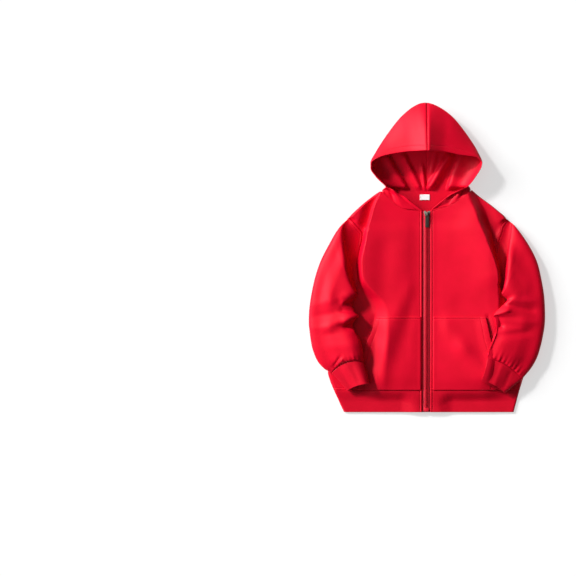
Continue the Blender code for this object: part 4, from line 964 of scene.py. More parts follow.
def emboss(shader: bpy.types.Node, height: bpy.types.NodeSocket, strength: float, deep: float) -> None:
    """Give the shader a fine relief, `deep` millimetres at full strength."""
    tree = shader.id_data
    bump = add_node(tree, "ShaderNodeBump", {"Strength": strength, "Distance": deep * MM})
    tree.links.new(height, bump.inputs["Height"])
    tree.links.new(bump.outputs["Normal"], shader.inputs["Normal"])


def blend(tree: bpy.types.NodeTree, share: float, a: bpy.types.NodeSocket,
          b: bpy.types.NodeSocket) -> bpy.types.NodeSocket:
    """Mix two values, `share` being how much of the second."""
    mix = add_node(tree, "ShaderNodeMix", {"Factor": share}, data_type="FLOAT")
    tree.links.new(a, mix.inputs["A"])
    tree.links.new(b, mix.inputs["B"])
    return mix.outputs["Result"]


@dataclass(frozen=True)
class Knit:
    """Brushed fleece or rib: a fine knitted face with a nap, and faint uneven dye.

    Colours are linear.  `wale` and `course` are the width of one column and the height of one row of
    stitches, `nap` is the size of the fuzz and `cloud` that of the uneven dye, in millimetres;
    `relief` is how strongly they stand out.
    """

    name: str
    colour: tuple[float, float, float]
    shade: tuple[float, float, float]
    wale: float = 1.3
    course: float = .9
    nap: float = .8
    cloud: float = 38
    relief: float = .35
    rough: float = .52
    sheen: float = .02
    sheen_tint: tuple[float, float, float] = (1.0, .12, .2)

    def material(self) -> bpy.types.Material:
        """Build the node material."""
        mat, shader = principled(self.name, {
            "Roughness": self.rough, "Specular IOR Level": .13, "Sheen Weight": self.sheen,
            "Sheen Roughness": .45, "Sheen Tint": self.sheen_tint + (1.0,)})
        tree, link = mat.node_tree, mat.node_tree.links.new
        place = add_node(tree, "ShaderNodeTexCoord")
        cloth = add_node(tree, "ShaderNodeUVMap", uv_map="cloth")
        cloud = add_node(tree, "ShaderNodeTexNoise", {"Scale": 1 / (self.cloud * MM), "Detail": 3.0})
        fuzz = add_node(tree, "ShaderNodeTexNoise", {"Scale": 1 / (self.nap * MM), "Detail": 3.0,
                                                     "Roughness": .65})
        for noise in (cloud, fuzz):
            link(place.outputs["Object"], noise.inputs["Vector"])
        dye(shader, blend(tree, .35, cloud.outputs["Fac"], fuzz.outputs["Fac"]), self, (.36, .64))
        waves = []
        for wide, bent, way in ((self.wale, .6, "X"), (self.course, .8, "Y")):
            wave = add_node(tree, "ShaderNodeTexWave", {"Scale": 1 / (wide * MM) / 3.14, "Distortion": bent},
                            bands_direction=way)
            link(cloth.outputs["UV"], wave.inputs["Vector"])
            waves.append(wave.outputs["Fac"])
        emboss(shader, blend(tree, .6, blend(tree, .4, *waves), fuzz.outputs["Fac"]), self.relief, .35)
        mat.diffuse_color = self.colour + (1.0,)
        return mat


@dataclass(frozen=True)
class Plain:
    """A hard or woven finish with fine noise in its colour, roughness and relief.

    `grain` is the noise's size in millimetres and `uneven` how far the roughness strays from `rough`.
    """

    name: str
    colour: tuple[float, float, float]
    shade: tuple[float, float, float]
    rough: float
    uneven: float = .08
    metal: float = 0.0
    grain: float = .5
    relief: float = .15
    gloss: float = .5

    def material(self) -> bpy.types.Material:
        """Build the node material."""
        mat, shader = principled(self.name, {"Metallic": self.metal, "Specular IOR Level": self.gloss})
        tree, link = mat.node_tree, mat.node_tree.links.new
        place = add_node(tree, "ShaderNodeTexCoord")
        grain = add_node(tree, "ShaderNodeTexNoise", {"Scale": 1 / (self.grain * MM), "Detail": 4.0})
        link(place.outputs["Object"], grain.inputs["Vector"])
        dye(shader, grain.outputs["Fac"], self, (.35, .65))
        rough = add_node(tree, "ShaderNodeMapRange", {"To Min": self.rough - self.uneven,
                                                      "To Max": self.rough + self.uneven})
        link(grain.outputs["Fac"], rough.inputs["Value"])
        link(rough.outputs["Result"], shader.inputs["Roughness"])
        emboss(shader, grain.outputs["Fac"], self.relief, .1)
        mat.diffuse_color = self.colour + (1.0,)
        return mat


FLEECE = Knit("red_fleece", (.69, .0004, .021), (.63, .0003, .017))
RIB = Knit("red_rib", (.60, .0004, .018), (.54, .0003, .015), wale=3.0, relief=.3)
THREAD = Plain("red_thread", (.66, .012, .03), (.55, .008, .022), .7, grain=.3)
TAPE = Plain("red_zip_tape", (.66, .035, .06), (.55, .022, .042), .85, grain=.6, relief=.4, gloss=.1)
TEETH = Plain("dark_red_teeth", (.64, .006, .028), (.52, .004, .02), .6, grain=.8, gloss=.15)
SLIDER = Plain("aged_nickel", (.40, .39, .33), (.26, .26, .22), .42, metal=.6, grain=.7)
PULL = Plain("gunmetal", (.088, .088, .072), (.046, .045, .038), .45, metal=.6, grain=.6)
LABEL = Plain("white_label", (.86, .84, .84), (.78, .75, .76), .8, grain=.35, relief=.3)


# ---------------------------------------------------------------------------------- repeats
class NodeGroup:
    """A Geometry Nodes tree with named inputs, run once on a mesh and then left behind."""

    def __init__(self, name: str) -> None:
        """Start a tree with geometry in and out."""
        self.tree = bpy.data.node_groups.new(name, "GeometryNodeTree")
        self.tree.interface.new_socket("Geometry", in_out="INPUT", socket_type="NodeSocketGeometry")
        self.tree.interface.new_socket("Geometry", in_out="OUTPUT", socket_type="NodeSocketGeometry")
        self.sockets: dict[str, str] = {}
        self.start = self.tree.nodes.new("NodeGroupInput")
        self.end = self.tree.nodes.new("NodeGroupOutput")

    def size(self, name: str, kind: str = "NodeSocketFloat") -> None:
        """Add a named input."""
        socket = self.tree.interface.new_socket(name, in_out="INPUT", socket_type=kind)
        self.sockets[name] = socket.identifier

    def node(self, kind: str, inputs: dict | None = None, **fields) -> bpy.types.Node:
        """Add a node to the tree."""
        return add_node(self.tree, kind, inputs, **fields)

    def link(self, a: bpy.types.NodeSocket, b: bpy.types.NodeSocket) -> None:
        """Join two sockets."""
        self.tree.links.new(a, b)

    def vector(self, names: tuple[str, str, str]) -> bpy.types.NodeSocket:
        """Join three named inputs into a vector."""
        joined = self.node("ShaderNodeCombineXYZ")
        for axis, name in zip("XYZ", names):
            self.link(self.start.outputs[name], joined.inputs[axis])
        return joined.outputs["Vector"]

    def steps(self) -> bpy.types.Node:
        """Set points one input `Pitch` apart along the input mesh's edges."""
        curve = self.node("GeometryNodeMeshToCurve")
        steps = self.node("GeometryNodeCurveToPoints", mode="LENGTH")
        self.link(self.start.outputs["Geometry"], curve.inputs["Mesh"])
        self.link(curve.outputs["Curve"], steps.inputs["Curve"])
        self.link(self.start.outputs["Pitch"], steps.inputs["Length"])
        return steps

    def close(self, geometry: bpy.types.NodeSocket) -> None:
        """End the tree in Realize Instances, smooth shading and Set Material."""
        real = self.node("GeometryNodeRealizeInstances")
        smooth = self.node("GeometryNodeSetShadeSmooth")
        dress = self.node("GeometryNodeSetMaterial")
        self.size("Finish", "NodeSocketMaterial")
        self.link(geometry, real.inputs["Geometry"])
        self.link(real.outputs["Geometry"], smooth.inputs["Geometry"])
        self.link(smooth.outputs["Geometry"], dress.inputs["Geometry"])
        self.link(self.start.outputs["Finish"], dress.inputs["Material"])
        self.link(dress.outputs["Geometry"], self.end.inputs["Geometry"])

    def run(self, name: str, source: bpy.types.Mesh, values: dict) -> bpy.types.Object:
        """Apply the tree.

        Args:
            name: Name of the piece that results.
            source: The mesh that the tree reads.
            values: Value of each named input.

        Returns:
            A plain mesh object at the origin.
        """
        guide = put(name + "_guide", source)
        modifier = guide.modifiers.new("make", "NODES")
        modifier.node_group = self.tree
        for key, value in values.items():
            modifier[self.sockets[key]] = value
        bpy.context.view_layer.update()
        made = guide.evaluated_get(bpy.context.evaluated_depsgraph_get())
        mesh = bpy.data.meshes.new_from_object(made)
        mesh.name = name
        bpy.data.objects.remove(guide)
        bpy.data.meshes.remove(source)
        return put(name, mesh)


def polylines(name: str, lines: list[Array]) -> bpy.types.Mesh:
    """A mesh of loose edges through lists of places in millimetres."""
    verts, edges = [], []
    for line in lines:
        first = len(verts)
        verts += [tuple(float(c) * MM for c in p) for p in line]
        edges += [(first + i, first + i + 1) for i in range(len(line) - 1)]
    mesh = bpy.data.meshes.new(name)
    mesh.from_pydata(verts, edges, [])
    return mesh


@dataclass
class Topstitching:
    """Short thread stitches laid along the seams' stitch lines."""

    name: str
    pitch: float = 3.3
    length: float = 2.5
    thread: float = .55
    lines: list[Array] = field(default_factory=list)

    def follow(self, line: Array) -> None:
        """Add a stitch line."""
        if len(line) > 1:
            self.lines.append(np.asarray(line, float))

    def tree(self) -> NodeGroup:
        """Nodes that set one small thread link at each step along a curve."""
        group = NodeGroup("topstitch_tree")
        for size in ("Pitch", "Length", "Thread width"):
            group.size(size)
        steps = group.steps()
        link = group.node("GeometryNodeMeshUVSphere", {"Segments": 6, "Rings": 4, "Radius": .5})
        shape = group.node("GeometryNodeTransform")
        lay = group.node("GeometryNodeInstanceOnPoints")
        group.link(link.outputs["Mesh"], shape.inputs["Geometry"])
        group.link(group.vector(("Thread width", "Thread width", "Length")), shape.inputs["Scale"])
        group.link(steps.outputs["Points"], lay.inputs["Points"])
        group.link(shape.outputs["Geometry"], lay.inputs["Instance"])
        group.link(steps.outputs["Rotation"], lay.inputs["Rotation"])
        group.close(lay.outputs["Instances"])
        return group

    def build(self, material: bpy.types.Material) -> bpy.types.Object:
        """Sew all the lines."""
        values = {"Pitch": self.pitch * MM, "Length": self.length * MM, "Thread width": self.thread * MM,
                  "Finish": material}
        return self.tree().run(self.name, polylines(self.name, self.lines), values)


# ---------------------------------------------------------------------------------- workshop
@dataclass
class Workshop:
    """Shared finishes, stitch lines and the calls that place a piece on the frame."""

    detail: int
    fleece: bpy.types.Material
    rib: bpy.types.Material
    sewn: dict[str, Topstitching] = field(default_factory=dict)

    def stitches(self, name: str) -> Topstitching:
        """The stitching that belongs to a sub-assembly."""
        return self.sewn.setdefault(name, Topstitching(name))

    def lay(self, cloth: Cloth, obj: bpy.types.Object, slot: str, rests_on: list[str]) -> None:
        """Attach a cloth piece to the frame's garment body and hide the node that it replaces.

        Args:
            cloth: The grid that it was made from; its name gives the node to hide.
            obj: The finished piece; it has its node's name and `_cloth`.
            slot: The record's material slot; not used.
            rests_on: Nodes that it lies on; not used.
        """
        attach(obj, "garment")
        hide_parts(cloth.name.removesuffix("_cloth"))


UPWARD = np.array([0.0, 0.0, 1.0])


@dataclass
class FrontPanel:
    """Front body panel, from the hem seam to the shoulder, folded back at the zip."""

    cut: HalfCut

    def build(self, shop: Workshop) -> None:
        """Make the panel with its zip fold, neck seam, hem seam and stitch lines."""
        cut = self.cut
        grid = cut.front_grid(shop.detail)
        grid[..., 2] += creases(cut.mouth, grid[..., 0], grid[..., 1])
        cloth = Cloth(f"front_{cut.tag}_cloth", grid, FLEECE_WALL, sign=cut.sign)
        cloth.make_edge(Side.FIRST, HEM_SEAM)
        ends = cloth.grid[:, 0]
        by_zip = (ends[:, 1] < ZIP_TOP - .05).astype(float)
        cloth.make_edge(Side.INNER, ZIP_FOLD, by_zip, NECK_SEAM)
        ups = cloth.grid[:, -1, 1]
        shown = np.maximum(ease((ups - cut.seam_shown) / 12), ease((UNDERARM - ups) / 12))
        cloth.make_edge(Side.OUTER, SEAM, shown, HIDDEN_SEAM)
        cloth.make_edge(Side.LAST, SEAM)
        obj, face = cloth.build(UPWARD, shop.fleece)
        sewn = shop.stitches("stitches_body")
        neck = int(by_zip.sum())
        column = ZIP_FOLD.line()
        sewn.follow(face[HEM_SEAM.line():neck + 1, column])
        sewn.follow(face[neck:-6, column])
        sewn.follow(face[HEM_SEAM.line(), column:-len(SEAM.marks())])
        shop.lay(cloth, obj, "fleece", ["back_panel"])


@dataclass
class Sleeve:
    """Dropped-shoulder sleeve: a tube from the armhole to the gathered cuff seam."""

    cut: HalfCut
    crown: float = .6           # power of the creases' fading toward the tube's sides
    gather_edge: float = 3.0    # length over which the gathers swell from the cuff seam

    def build(self, shop: Workshop) -> None:
        """Make the sleeve with its folds, gathers and armhole stitching."""
        cut, k = self.cut, shop.detail
        grid = cut.sleeve_grid(k)
        n = ARM_STEPS * k
        top = np.zeros(grid.shape[1])
        top[:n + 1] = np.sin(np.linspace(0, math.pi, n + 1)) ** self.crown
        rows = np.linspace(0, len(cut.rings), len(grid))
        inland = ease((rows - .6) / 1.4) * ease((len(cut.rings) - rows) / 1.2)
        grid[..., 2] += creases(cut.sleeve_creases, grid[..., 0], grid[..., 1]) * top * inland[:, None]
        step = np.linalg.norm(np.diff(grid, axis=0), axis=2)
        to_cuff = np.vstack([np.cumsum(step[::-1], axis=0)[::-1], np.zeros(grid.shape[1])])
        f = np.full(grid.shape[1], -1.0)
        f[:n + 1] = crowd(n)
        for at, wide, high, long in cut.gathers:
            start = np.sin(np.clip(to_cuff / self.gather_edge, 0, 1) * math.pi / 2)
            grid[..., 2] += high * bell((f - at) / wide) * (start * bell(to_cuff / long)) * (f >= 0)
        cloth = Cloth(f"sleeve_{cut.tag}_cloth", grid, FLEECE_WALL, closed=True, sign=cut.sign)
        cloth.make_edge(Side.FIRST, ARMHOLE_SEAM, ease((.5 - f) / .12) * (f >= 0), ARMHOLE_HIDDEN)
        cloth.make_edge(Side.LAST, CUFF_SEAM)
        obj, face = cloth.build(cloth.outward(), shop.fleece)
        shown = int(np.argmax(f > .46))
        shop.stitches("stitches_body").follow(face[ARMHOLE_SEAM.line(), 2:shown])
        shop.lay(cloth, obj, "fleece", [f"front_{cut.tag}"])


@dataclass
class Cuff:
    """Doubled rib cuff with a folded lower edge."""

    cut: HalfCut
    rib_pitch: float = 2.8
    rib_depth: float = .17

    def build(self, shop: Workshop) -> None:
        """Make the cuff with its ribs and the creases that pull into it."""
        cut = self.cut
        grid = cut.cuff_grid(shop.detail)
        n = ARM_STEPS * shop.detail
        top = np.zeros(grid.shape[1])
        top[:n + 1] = np.sin(np.linspace(0, math.pi, n + 1))
        grid[..., 2] += creases(cut.cuff_creases, grid[..., 0], grid[..., 1]) * top
        cloth = Cloth(f"cuff_{cut.tag}_cloth", grid, RIB_WALL, closed=True, sign=cut.sign)
        cloth.even_columns(self.rib_pitch / 4)
        cloth.make_edge(Side.FIRST, CUFF_SEAM)
        cloth.make_edge(Side.LAST, PLAIN_FOLD)
        cloth.rib(4, self.rib_depth)
        obj, _ = cloth.build(cloth.outward(), shop.rib)
        shop.lay(cloth, obj, "rib", [f"front_{cut.tag}", f"pocket_{cut.tag}"])


@dataclass
class Pocket:
    """Kangaroo pocket half with a slanted, hemmed opening."""

    cut: HalfCut
    inner: float = 13.4

    def build(self, shop: Workshop) -> None:
        """Make the pocket with its stitched top, hemmed opening and the edge under the zip's stitching."""
        cut = self.cut
        cloth = Cloth(f"pocket_{cut.tag}_cloth", cut.pocket_grid(shop.detail, self.inner), POCKET_WALL,
                      sign=cut.sign)
        cloth.make_edge(Side.FIRST, SEAM)
        cloth.make_edge(Side.INNER, POCKET_ZIP)
        cloth.make_edge(Side.OUTER, POCKET_MOUTH)
        cloth.make_edge(Side.LAST, POCKET_TOP)
        obj, face = cloth.build(UPWARD, shop.fleece)
        sewn = shop.stitches("stitches_pockets")
        sewn.follow(face[-1 - POCKET_TOP.line(), len(POCKET_ZIP.marks()):])
        sewn.follow(face[-3, len(POCKET_ZIP.marks()):])
        sewn.follow(face[6:, -1 - POCKET_MOUTH.line()])
        shop.lay(cloth, obj, "fleece", [f"front_{cut.tag}"])


@dataclass
class HoodHalf:
    """One half of the hood: hemmed rim, roof, and the back that lies on the table."""

    cut: HalfCut

    def build(self, shop: Workshop) -> None:
        """Make the hood half with its rim hem, crown seam and inside folds."""
        cut = self.cut
        grid = cut.hood_grid(shop.detail, HOOD_FOLDS)
        cloth = Cloth(f"hood_{cut.tag}_cloth", grid, FLEECE_WALL, sign=cut.sign)
        cloth.make_edge(Side.FIRST, SEAM)
        cloth.make_edge(Side.LAST, CROWN_SEAM)
        cloth.make_edge(Side.OUTER, BACK_SEAM)
        cloth.make_edge(Side.INNER, HOOD_RIM)
        obj, face = cloth.build(self.outside(cloth), shop.fleece)
        shop.stitches("stitches_hood").follow(face[6:-4, HOOD_RIM.line()])
        shop.lay(cloth, obj, "fleece", ["back_panel"])

    def outside(self, cloth: Cloth) -> Array:
        """Directions of the hood's outside: up on the roof, down on the back."""
        up = np.zeros(cloth.grid.shape[:2] + (3,))
        up[:, -BACK_CELLS:, 2] = -1
        return up


@dataclass
class BackPanel:
    """Back body panel: flat on the table from the hem seam to the neck."""

    across: int = 60

    def build(self, shop: Workshop) -> None:
        """Make the panel from its two side seams, armholes and shoulders."""
        k = shop.detail
        edges = []
        for cut in (LEFT, RIGHT):
            f = crowd(ARM_STEPS * k)
            ups = np.linspace(HEM_TOP, UNDERARM, HIP_STEPS * k + 1)[:-1]
            side = np.column_stack([cut.plan(cut.side, ups), ups])
            arm = path(cut.arm_back, f)[::-1]
            shoulder = path(cut.shoulder, np.linspace(0, SHOULDER_AT[-1], SHOULDER_STEPS * k + 1)[1:])
            top = NECK_BACK + 1.5
            end = np.array([[np.interp(top, shoulder[:, 1], shoulder[:, 0]) - 1, top]])
            edge = np.vstack([side, arm, shoulder[shoulder[:, 1] < NECK_BACK], end])
            edges.append(np.column_stack([np.interp(np.linspace(0, 1, 140), self.lengths(edge), edge[:, c])
                                          for c in (0, 1)]) * (cut.sign, 1))
        left, right = edges
        share = np.linspace(0, 1, self.across)[None, :, None]
        flat = left[:, None] + (right - left)[:, None] * share
        grid = np.dstack([flat, np.zeros(flat.shape[:2])])
        cloth = Cloth("back_panel_cloth", grid, FLEECE_WALL)
        for side in (Side.FIRST, Side.LAST, Side.INNER, Side.OUTER):
            cloth.make_edge(side, BACK_SEAM)
        obj, _ = cloth.build(-UPWARD, shop.fleece)
        shop.lay(cloth, obj, "fleece", [])

    @staticmethod
    def lengths(line: Array) -> Array:
        """Share of the line's length at each of its points."""
        s = np.concatenate([[0], np.cumsum(np.linalg.norm(np.diff(line, axis=0), axis=1))])
        return s / s[-1]


@dataclass
class HemBand:
    """Doubled rib band from one zip edge round the back to the other."""

    rib_pitch: float = 3.0
    rib_depth: float = .17
    turn: float = 6.0           # width of the round side between the front and the back
    crowding: float = 1.12      # more than 1 sets the columns closer toward the side
    low_from: float = 24        # where the band starts to lie lower than by the zip,
    low_over: float = 40        # and over what length it gets there

    def grid(self, k: int) -> Array:
        """Points of the band: front, round the side, back, round and up to the other zip edge."""
        rows = []
        for w in np.linspace(0, 1, 3 * k + 1):
            up = HEM_TOP + (HEM_END - HEM_TOP) * w
            front = {}
            for cut in (LEFT, RIGHT):
                side = cut.side[0][0] + (cut.hem_out - cut.side[0][0]) * w
                b = np.linspace(0, 1, 9 * k + 1)
                out = cut.zip_edge + (1 - (1 - b) ** self.crowding) * (side - self.turn - cut.zip_edge)
                top = cut.front_top(out, np.full_like(out, HEM_TOP))
                z = hem_height(top, w, ease((out - self.low_from) / self.low_over))
                a = np.linspace(0, math.pi, 4 * k + 1)[1:]
                around = side - self.turn + self.turn * np.sin(a)
                bend = np.column_stack([around, z[-1] / 2 * (1 + np.cos(a))])
                front[cut.tag] = np.vstack([np.column_stack([out, z]), bend])
            left, right = front["l"], front["r"]
            across = np.linspace(-left[-1, 0], right[-1, 0], 8 * k + 1)[1:-1]
            line = [(-x, z) for x, z in left] + [(x, 0.0) for x in across]
            line += [(x, z) for x, z in right[::-1]]
            rows.append([(x, up, z) for x, z in line])
        return np.array(rows)

    def build(self, shop: Workshop) -> None:
        """Make the band with its ribs and its stitched ends beside the zip."""
        cloth = Cloth("hem_band_cloth", self.grid(shop.detail), RIB_WALL)
        cloth.even_columns(self.rib_pitch / 4)
        cloth.rib(4, self.rib_depth)
        cloth.make_edge(Side.FIRST, SEAM)
        cloth.make_edge(Side.LAST, PLAIN_FOLD)
        cloth.make_edge(Side.INNER, ZIP_FOLD)
        cloth.make_edge(Side.OUTER, ZIP_FOLD)
        away = np.zeros(cloth.grid.shape[:2] + (3,))
        away[..., 2] = cloth.grid[..., 2] - 6
        obj, face = cloth.build(away, shop.rib)
        sewn = shop.stitches("stitches_body")
        for column in (ZIP_FOLD.line(), -1 - ZIP_FOLD.line()):
            sewn.follow(face[2:-2, column])
        shop.lay(cloth, obj, "rib", ["back_panel"])


# ---------------------------------------------------------------------------------- zip
@dataclass
class ZipFastener:
    """Tapes, closed teeth, slider, pull tab and the box at the bottom."""

    tape_far: tuple[float, float] = (19.5, 16.5)
    tape_wall: float = .8
    tooth_pitch: float = 3.2
    tooth: tuple[float, float, float] = (4.2, 1.5, 2.4)
    head_radius: float = 1.15
    head_at: float = 1.6
    chain_low: float = -355.5
    chain_high: float = 97.0
    sunk: tuple[float, float] = (2.7, .9)   # how far the tapes and teeth lie below the fronts' face
    weld: float = 1e-6                      # metres
    flat_turn: float = .02                  # radians: flatter edges of the hardware are dissolved,
    sharp_turn: float = .5                  # and sharper ones are broken

    def ups(self, low: float, high: float, step: float) -> Array:
        """Stations along the zip."""
        return np.linspace(low, high, int((high - low) / step) + 1)

    def tapes(self, shop: Workshop, material: bpy.types.Material) -> None:
        """Woven tapes that rise to the teeth from under the folded fronts."""
        ups = self.ups(HEM_END + 1, ZIP_TOP - 1.5, 6)
        for tag, sign, far in zip("lr", (-1, 1), self.tape_far):
            outs = np.array([.7, 2.2, 3.6, 4.6, 5.4, 6.4, 7.6, 9.0, 11.0, 14.0, far])
            rise = along((0, 4, 5.4, 8, 25), (.6, .6, 1.1, .1, 0), outs)
            z = zip_height(ups)[:, None] - self.sunk[0] + rise
            grid = np.dstack([np.broadcast_to(outs, z.shape), np.broadcast_to(ups[:, None], z.shape), z])
            cloth = Cloth(f"zip_tape_{tag}_cloth", grid, self.tape_wall, sign=sign)
            obj, _ = cloth.build(UPWARD, material)
            shop.lay(cloth, obj, "zip_tape", [f"front_{tag}"])

    def teeth_tree(self) -> NodeGroup:
        """Nodes that set two rows of moulded teeth, one half a pitch behind the other."""
        group = NodeGroup("teeth_tree")
        for size in ("Pitch", "Tooth width", "Tooth length", "Tooth height"):
            group.size(size)
        start = group.start.outputs
        steps = group.steps()
        bar = group.node("GeometryNodeMeshCube")
        group.link(group.vector(("Tooth width", "Tooth length", "Tooth height")), bar.inputs["Size"])
        head = group.node("GeometryNodeMeshCylinder", {"Vertices": 8, "Radius": self.head_radius * MM})
        group.link(start["Tooth height"], head.inputs["Depth"])
        join = group.node("GeometryNodeJoinGeometry")
        for sign in (-1, 1):
            shift = group.node("ShaderNodeCombineXYZ")
            half = group.node("ShaderNodeMath", {1: sign * .5}, operation="MULTIPLY")
            behind = group.node("ShaderNodeMath", {1: max(sign, 0) * .5}, operation="MULTIPLY")
            group.link(start["Tooth width"], half.inputs[0])
            group.link(start["Pitch"], behind.inputs[0])
            group.link(half.outputs["Value"], shift.inputs["X"])
            group.link(behind.outputs["Value"], shift.inputs["Y"])
            tip = group.node("GeometryNodeTransform", {"Translation": (-sign * self.head_at * MM, 0, 0)})
            group.link(head.outputs["Mesh"], tip.inputs["Geometry"])
            tooth = group.node("GeometryNodeJoinGeometry")
            group.link(bar.outputs["Mesh"], tooth.inputs["Geometry"])
            group.link(tip.outputs["Geometry"], tooth.inputs["Geometry"])
            lay = group.node("GeometryNodeInstanceOnPoints")
            move = group.node("GeometryNodeSetPosition")
            group.link(steps.outputs["Points"], move.inputs["Geometry"])
            group.link(shift.outputs["Vector"], move.inputs["Offset"])
            group.link(move.outputs["Geometry"], lay.inputs["Points"])
            group.link(tooth.outputs["Geometry"], lay.inputs["Instance"])
            group.link(lay.outputs["Instances"], join.inputs["Geometry"])
        group.close(join.outputs["Geometry"])
        return group

    def chain(self, material: bpy.types.Material) -> None:
        """The closed rows of teeth."""
        ups = self.ups(self.chain_low, self.chain_high, 8)
        height = zip_height(ups) - self.sunk[1]
        line = np.column_stack([np.zeros(len(ups)), ups, height])
        width, length, tall = self.tooth
        obj = self.teeth_tree().run("zip_teeth", polylines("zip_teeth", [line]), {
            "Pitch": self.tooth_pitch * MM, "Tooth width": width * MM, "Tooth length": length * MM,
            "Tooth height": tall * MM, "Finish": material})
        for face in obj.data.polygons:
            face.use_smooth = False
        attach(obj, "garment")
        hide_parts("zip_chain")
        LOG.info("zip_teeth: %d faces", len(obj.data.polygons))

    def hardware(self, frame: dict, materials: dict[str, bpy.types.Material]) -> None:
        """Slider, pull tab and bottom box with broken edges, each from its own node."""
        for node, body, slot, round_by in (("zip_slider", "garment", "slider_metal", .4),
                                           ("zip_pull", "pull_tab", "pull_metal", .3),
                                           ("zip_box", "garment", "zip_teeth", .6)):
            mesh = frame["nodes"][node].data.copy()
            bm = bmesh.new()
            bm.from_mesh(mesh)
            bmesh.ops.remove_doubles(bm, verts=bm.verts, dist=self.weld)
            bmesh.ops.dissolve_limit(bm, angle_limit=self.flat_turn, verts=bm.verts, edges=bm.edges)
            sharp = [e for e in bm.edges if e.is_manifold and e.calc_face_angle(0) > self.sharp_turn]
            bmesh.ops.bevel(bm, geom=sharp, offset=round_by * MM, segments=3, profile=.5, affect="EDGES",
                            clamp_overlap=True)
            bmesh.ops.triangulate(bm, faces=bm.faces)
            bm.to_mesh(mesh)
            bm.free()
            mesh.materials.clear()
            mesh.materials.append(materials[slot])
            mesh.shade_smooth()
            mesh.set_sharp_from_angle(angle=math.radians(40))
            obj = put(node + "_made", mesh)
            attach(obj, body)
            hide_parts(node)
            LOG.info("%s: %d faces", obj.name, len(mesh.polygons))


@dataclass
class NeckLabel:
    """Bare folded label sewn under the back of the neck."""

    x: tuple[float, float] = (-16.6, 7.1)
    y: tuple[float, float] = (136.3, 149.4)
    base: float = 2.95
    wall: float = .55
    bow: float = .5             # how far its long edges bow
    lift: float = .5            # how far its lower edge stands up

    def build(self, shop: Workshop, material: bpy.types.Material) -> None:
        """Make the label, its lower edge lifted a little, and its two end stitches."""
        u, v = np.linspace(0, 1, 25), np.linspace(0, 1, 17)
        x = self.x[0] + (self.x[1] - self.x[0]) * u[None, :] + 0 * v[:, None]
        y = self.y[0] + (self.y[1] - self.y[0]) * v[:, None] + self.bow * np.sin(u * math.pi)[None, :]
        z = self.base + self.lift * (1 - v[:, None]) ** 2 * (.4 + np.sin(u * math.pi))[None, :]
        cloth = Cloth("neck_label_cloth", np.dstack([x, y, z]), self.wall)
        obj, _ = cloth.build(UPWARD, material)
        sewn = shop.stitches("stitches_label")
        sewn.thread, sewn.length, sewn.pitch = .35, 1.3, 1.8
        for column in (1, -2):
            sewn.follow(np.column_stack([x[:, column], y[:, column], z[:, column]]))
        shop.lay(cloth, obj, "label", ["back_panel"])


# ---------------------------------------------------------------------------------- studio
def shine(lamp: bpy.types.Object, way: Vector) -> None:
    """Turn a lamp so that it shines in a direction."""
    lamp.rotation_mode = "QUATERNION"
    lamp.rotation_quaternion = way.to_track_quat("-Z", "Y")


@dataclass(frozen=True)
class Lamp:
    """A far lamp: where it stands, how wide its disc is and how much it lights a flat table."""

    name: str
    at: tuple[float, float, float]
    wide: float
    light: float
    gloss: bool = True

    def hang(self) -> None:
        """Add the lamp; `light` is what a flat white surface reflects of it."""
        toward = Vector(self.at).normalized()
        sun = bpy.data.lights.new(self.name, "SUN")
        sun.energy, sun.angle = self.light * math.pi / toward.z, math.radians(self.wide)
        lamp = put(self.name, sun)
        shine(lamp, -toward)
        lamp.visible_glossy = self.gloss


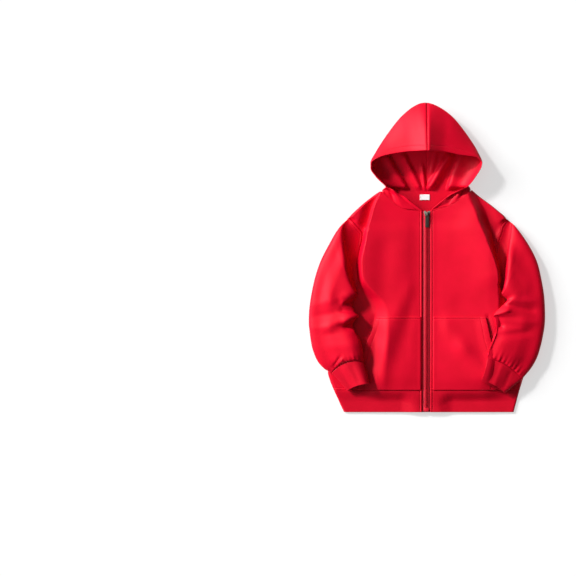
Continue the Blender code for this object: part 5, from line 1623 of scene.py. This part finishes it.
@dataclass
class Studio:
    """White table, lamps from the upper left, a small one under the hood's brim and a camera above."""

    frame_wide: float = 1.368
    aim: tuple[float, float] = (-.3301, -.0727)
    high: float = 12.0
    cloth_level: float = .02
    sensor: float = 36.0
    lamps: tuple[Lamp, ...] = (Lamp("key", (-.66, .50, .50), 7.0, .55),
                               Lamp("low_key", (-.86, .34, .38), 26, .38),
                               Lamp("sky", (-.62, .2, .75), 112, .23, gloss=False))
    surround: float = .02
    table_half: float = 3.0
    table_grey: float = .38
    table_glow: float = .58
    table_drop: float = .0002
    fill_at: tuple[float, float, float] = (-.12, -.02, .15)
    fill_aim: tuple[float, float, float] = (0, .30, .03)
    fill_watts: float = 1.45
    fill_cone: float = 56.0

    def camera(self) -> None:
        """Camera that looks straight down."""
        lens = bpy.data.cameras.new("camera")
        lens.sensor_width = self.sensor
        lens.lens = self.sensor * (self.high - self.cloth_level) / self.frame_wide
        lens.clip_end = 40.0
        camera = put("camera", lens)
        camera.location = (*self.aim, self.high)
        bpy.context.scene.camera = camera

    def table(self) -> None:
        """Pale table top that stays light in the shade."""
        mesh = bpy.data.meshes.new("table_top")
        half, grey = self.table_half, self.table_grey
        mesh.from_pydata([(-half, -half, 0), (half, -half, 0), (half, half, 0), (-half, half, 0)], [],
                         [(0, 1, 2, 3)])
        mat, _ = principled("white_table", {
            "Base Color": (grey, grey, grey, 1), "Roughness": 1.0, "Specular IOR Level": 0.0,
            "Emission Color": (1, 1, 1, 1), "Emission Strength": self.table_glow})
        mesh.materials.append(mat)
        table = put("table_top", mesh)
        table.location.z = -self.table_drop

    def fill(self) -> None:
        """Set a small soft lamp low over the body that reaches in under the hood's brim."""
        spot = bpy.data.lights.new("hood_fill", "SPOT")
        spot.energy, spot.shadow_soft_size = self.fill_watts, .04
        spot.spot_size, spot.spot_blend = math.radians(self.fill_cone), 1.0
        lamp = put("hood_fill", spot)
        lamp.location = self.fill_at
        shine(lamp, Vector(self.fill_aim) - Vector(self.fill_at))
        lamp.visible_camera = lamp.visible_glossy = False

    def lights(self) -> None:
        """Hang the lamps and set the dim surround."""
        for lamp in self.lamps:
            lamp.hang()
        self.fill()
        world = bpy.data.worlds.new("surround")
        world.use_nodes = True
        back = world.node_tree.nodes["Background"]
        back.inputs["Color"].default_value = (1, 1, 1, 1)
        back.inputs["Strength"].default_value = self.surround
        bpy.context.scene.world = world
        bpy.context.scene.view_settings.view_transform = "Standard"


def main() -> None:
    """Build the hoodie piece by piece, then set it on its table."""
    logging.basicConfig(level=logging.INFO, format="%(name)s: %(message)s")
    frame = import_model()
    studio = Studio()
    studio.camera()
    shop = Workshop(detail=6, fleece=FLEECE.material(), rib=RIB.material())
    for cut in (LEFT, RIGHT):
        for piece in (FrontPanel(cut), Sleeve(cut), Cuff(cut), Pocket(cut), HoodHalf(cut)):
            piece.build(shop)
    BackPanel().build(shop)
    HemBand().build(shop)
    NeckLabel().build(shop, LABEL.material())
    fastener = ZipFastener()
    teeth = TEETH.material()
    fastener.tapes(shop, TAPE.material())
    fastener.chain(teeth)
    fastener.hardware(frame, {"slider_metal": SLIDER.material(), "pull_metal": PULL.material(),
                              "zip_teeth": teeth})
    thread = THREAD.material()
    for sewn in shop.sewn.values():
        obj = sewn.build(thread)
        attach(obj, "garment")
        LOG.info("%s: %d faces", obj.name, len(obj.data.polygons))
    studio.table()
    studio.lights()


if __name__ == "__main__":
    main()
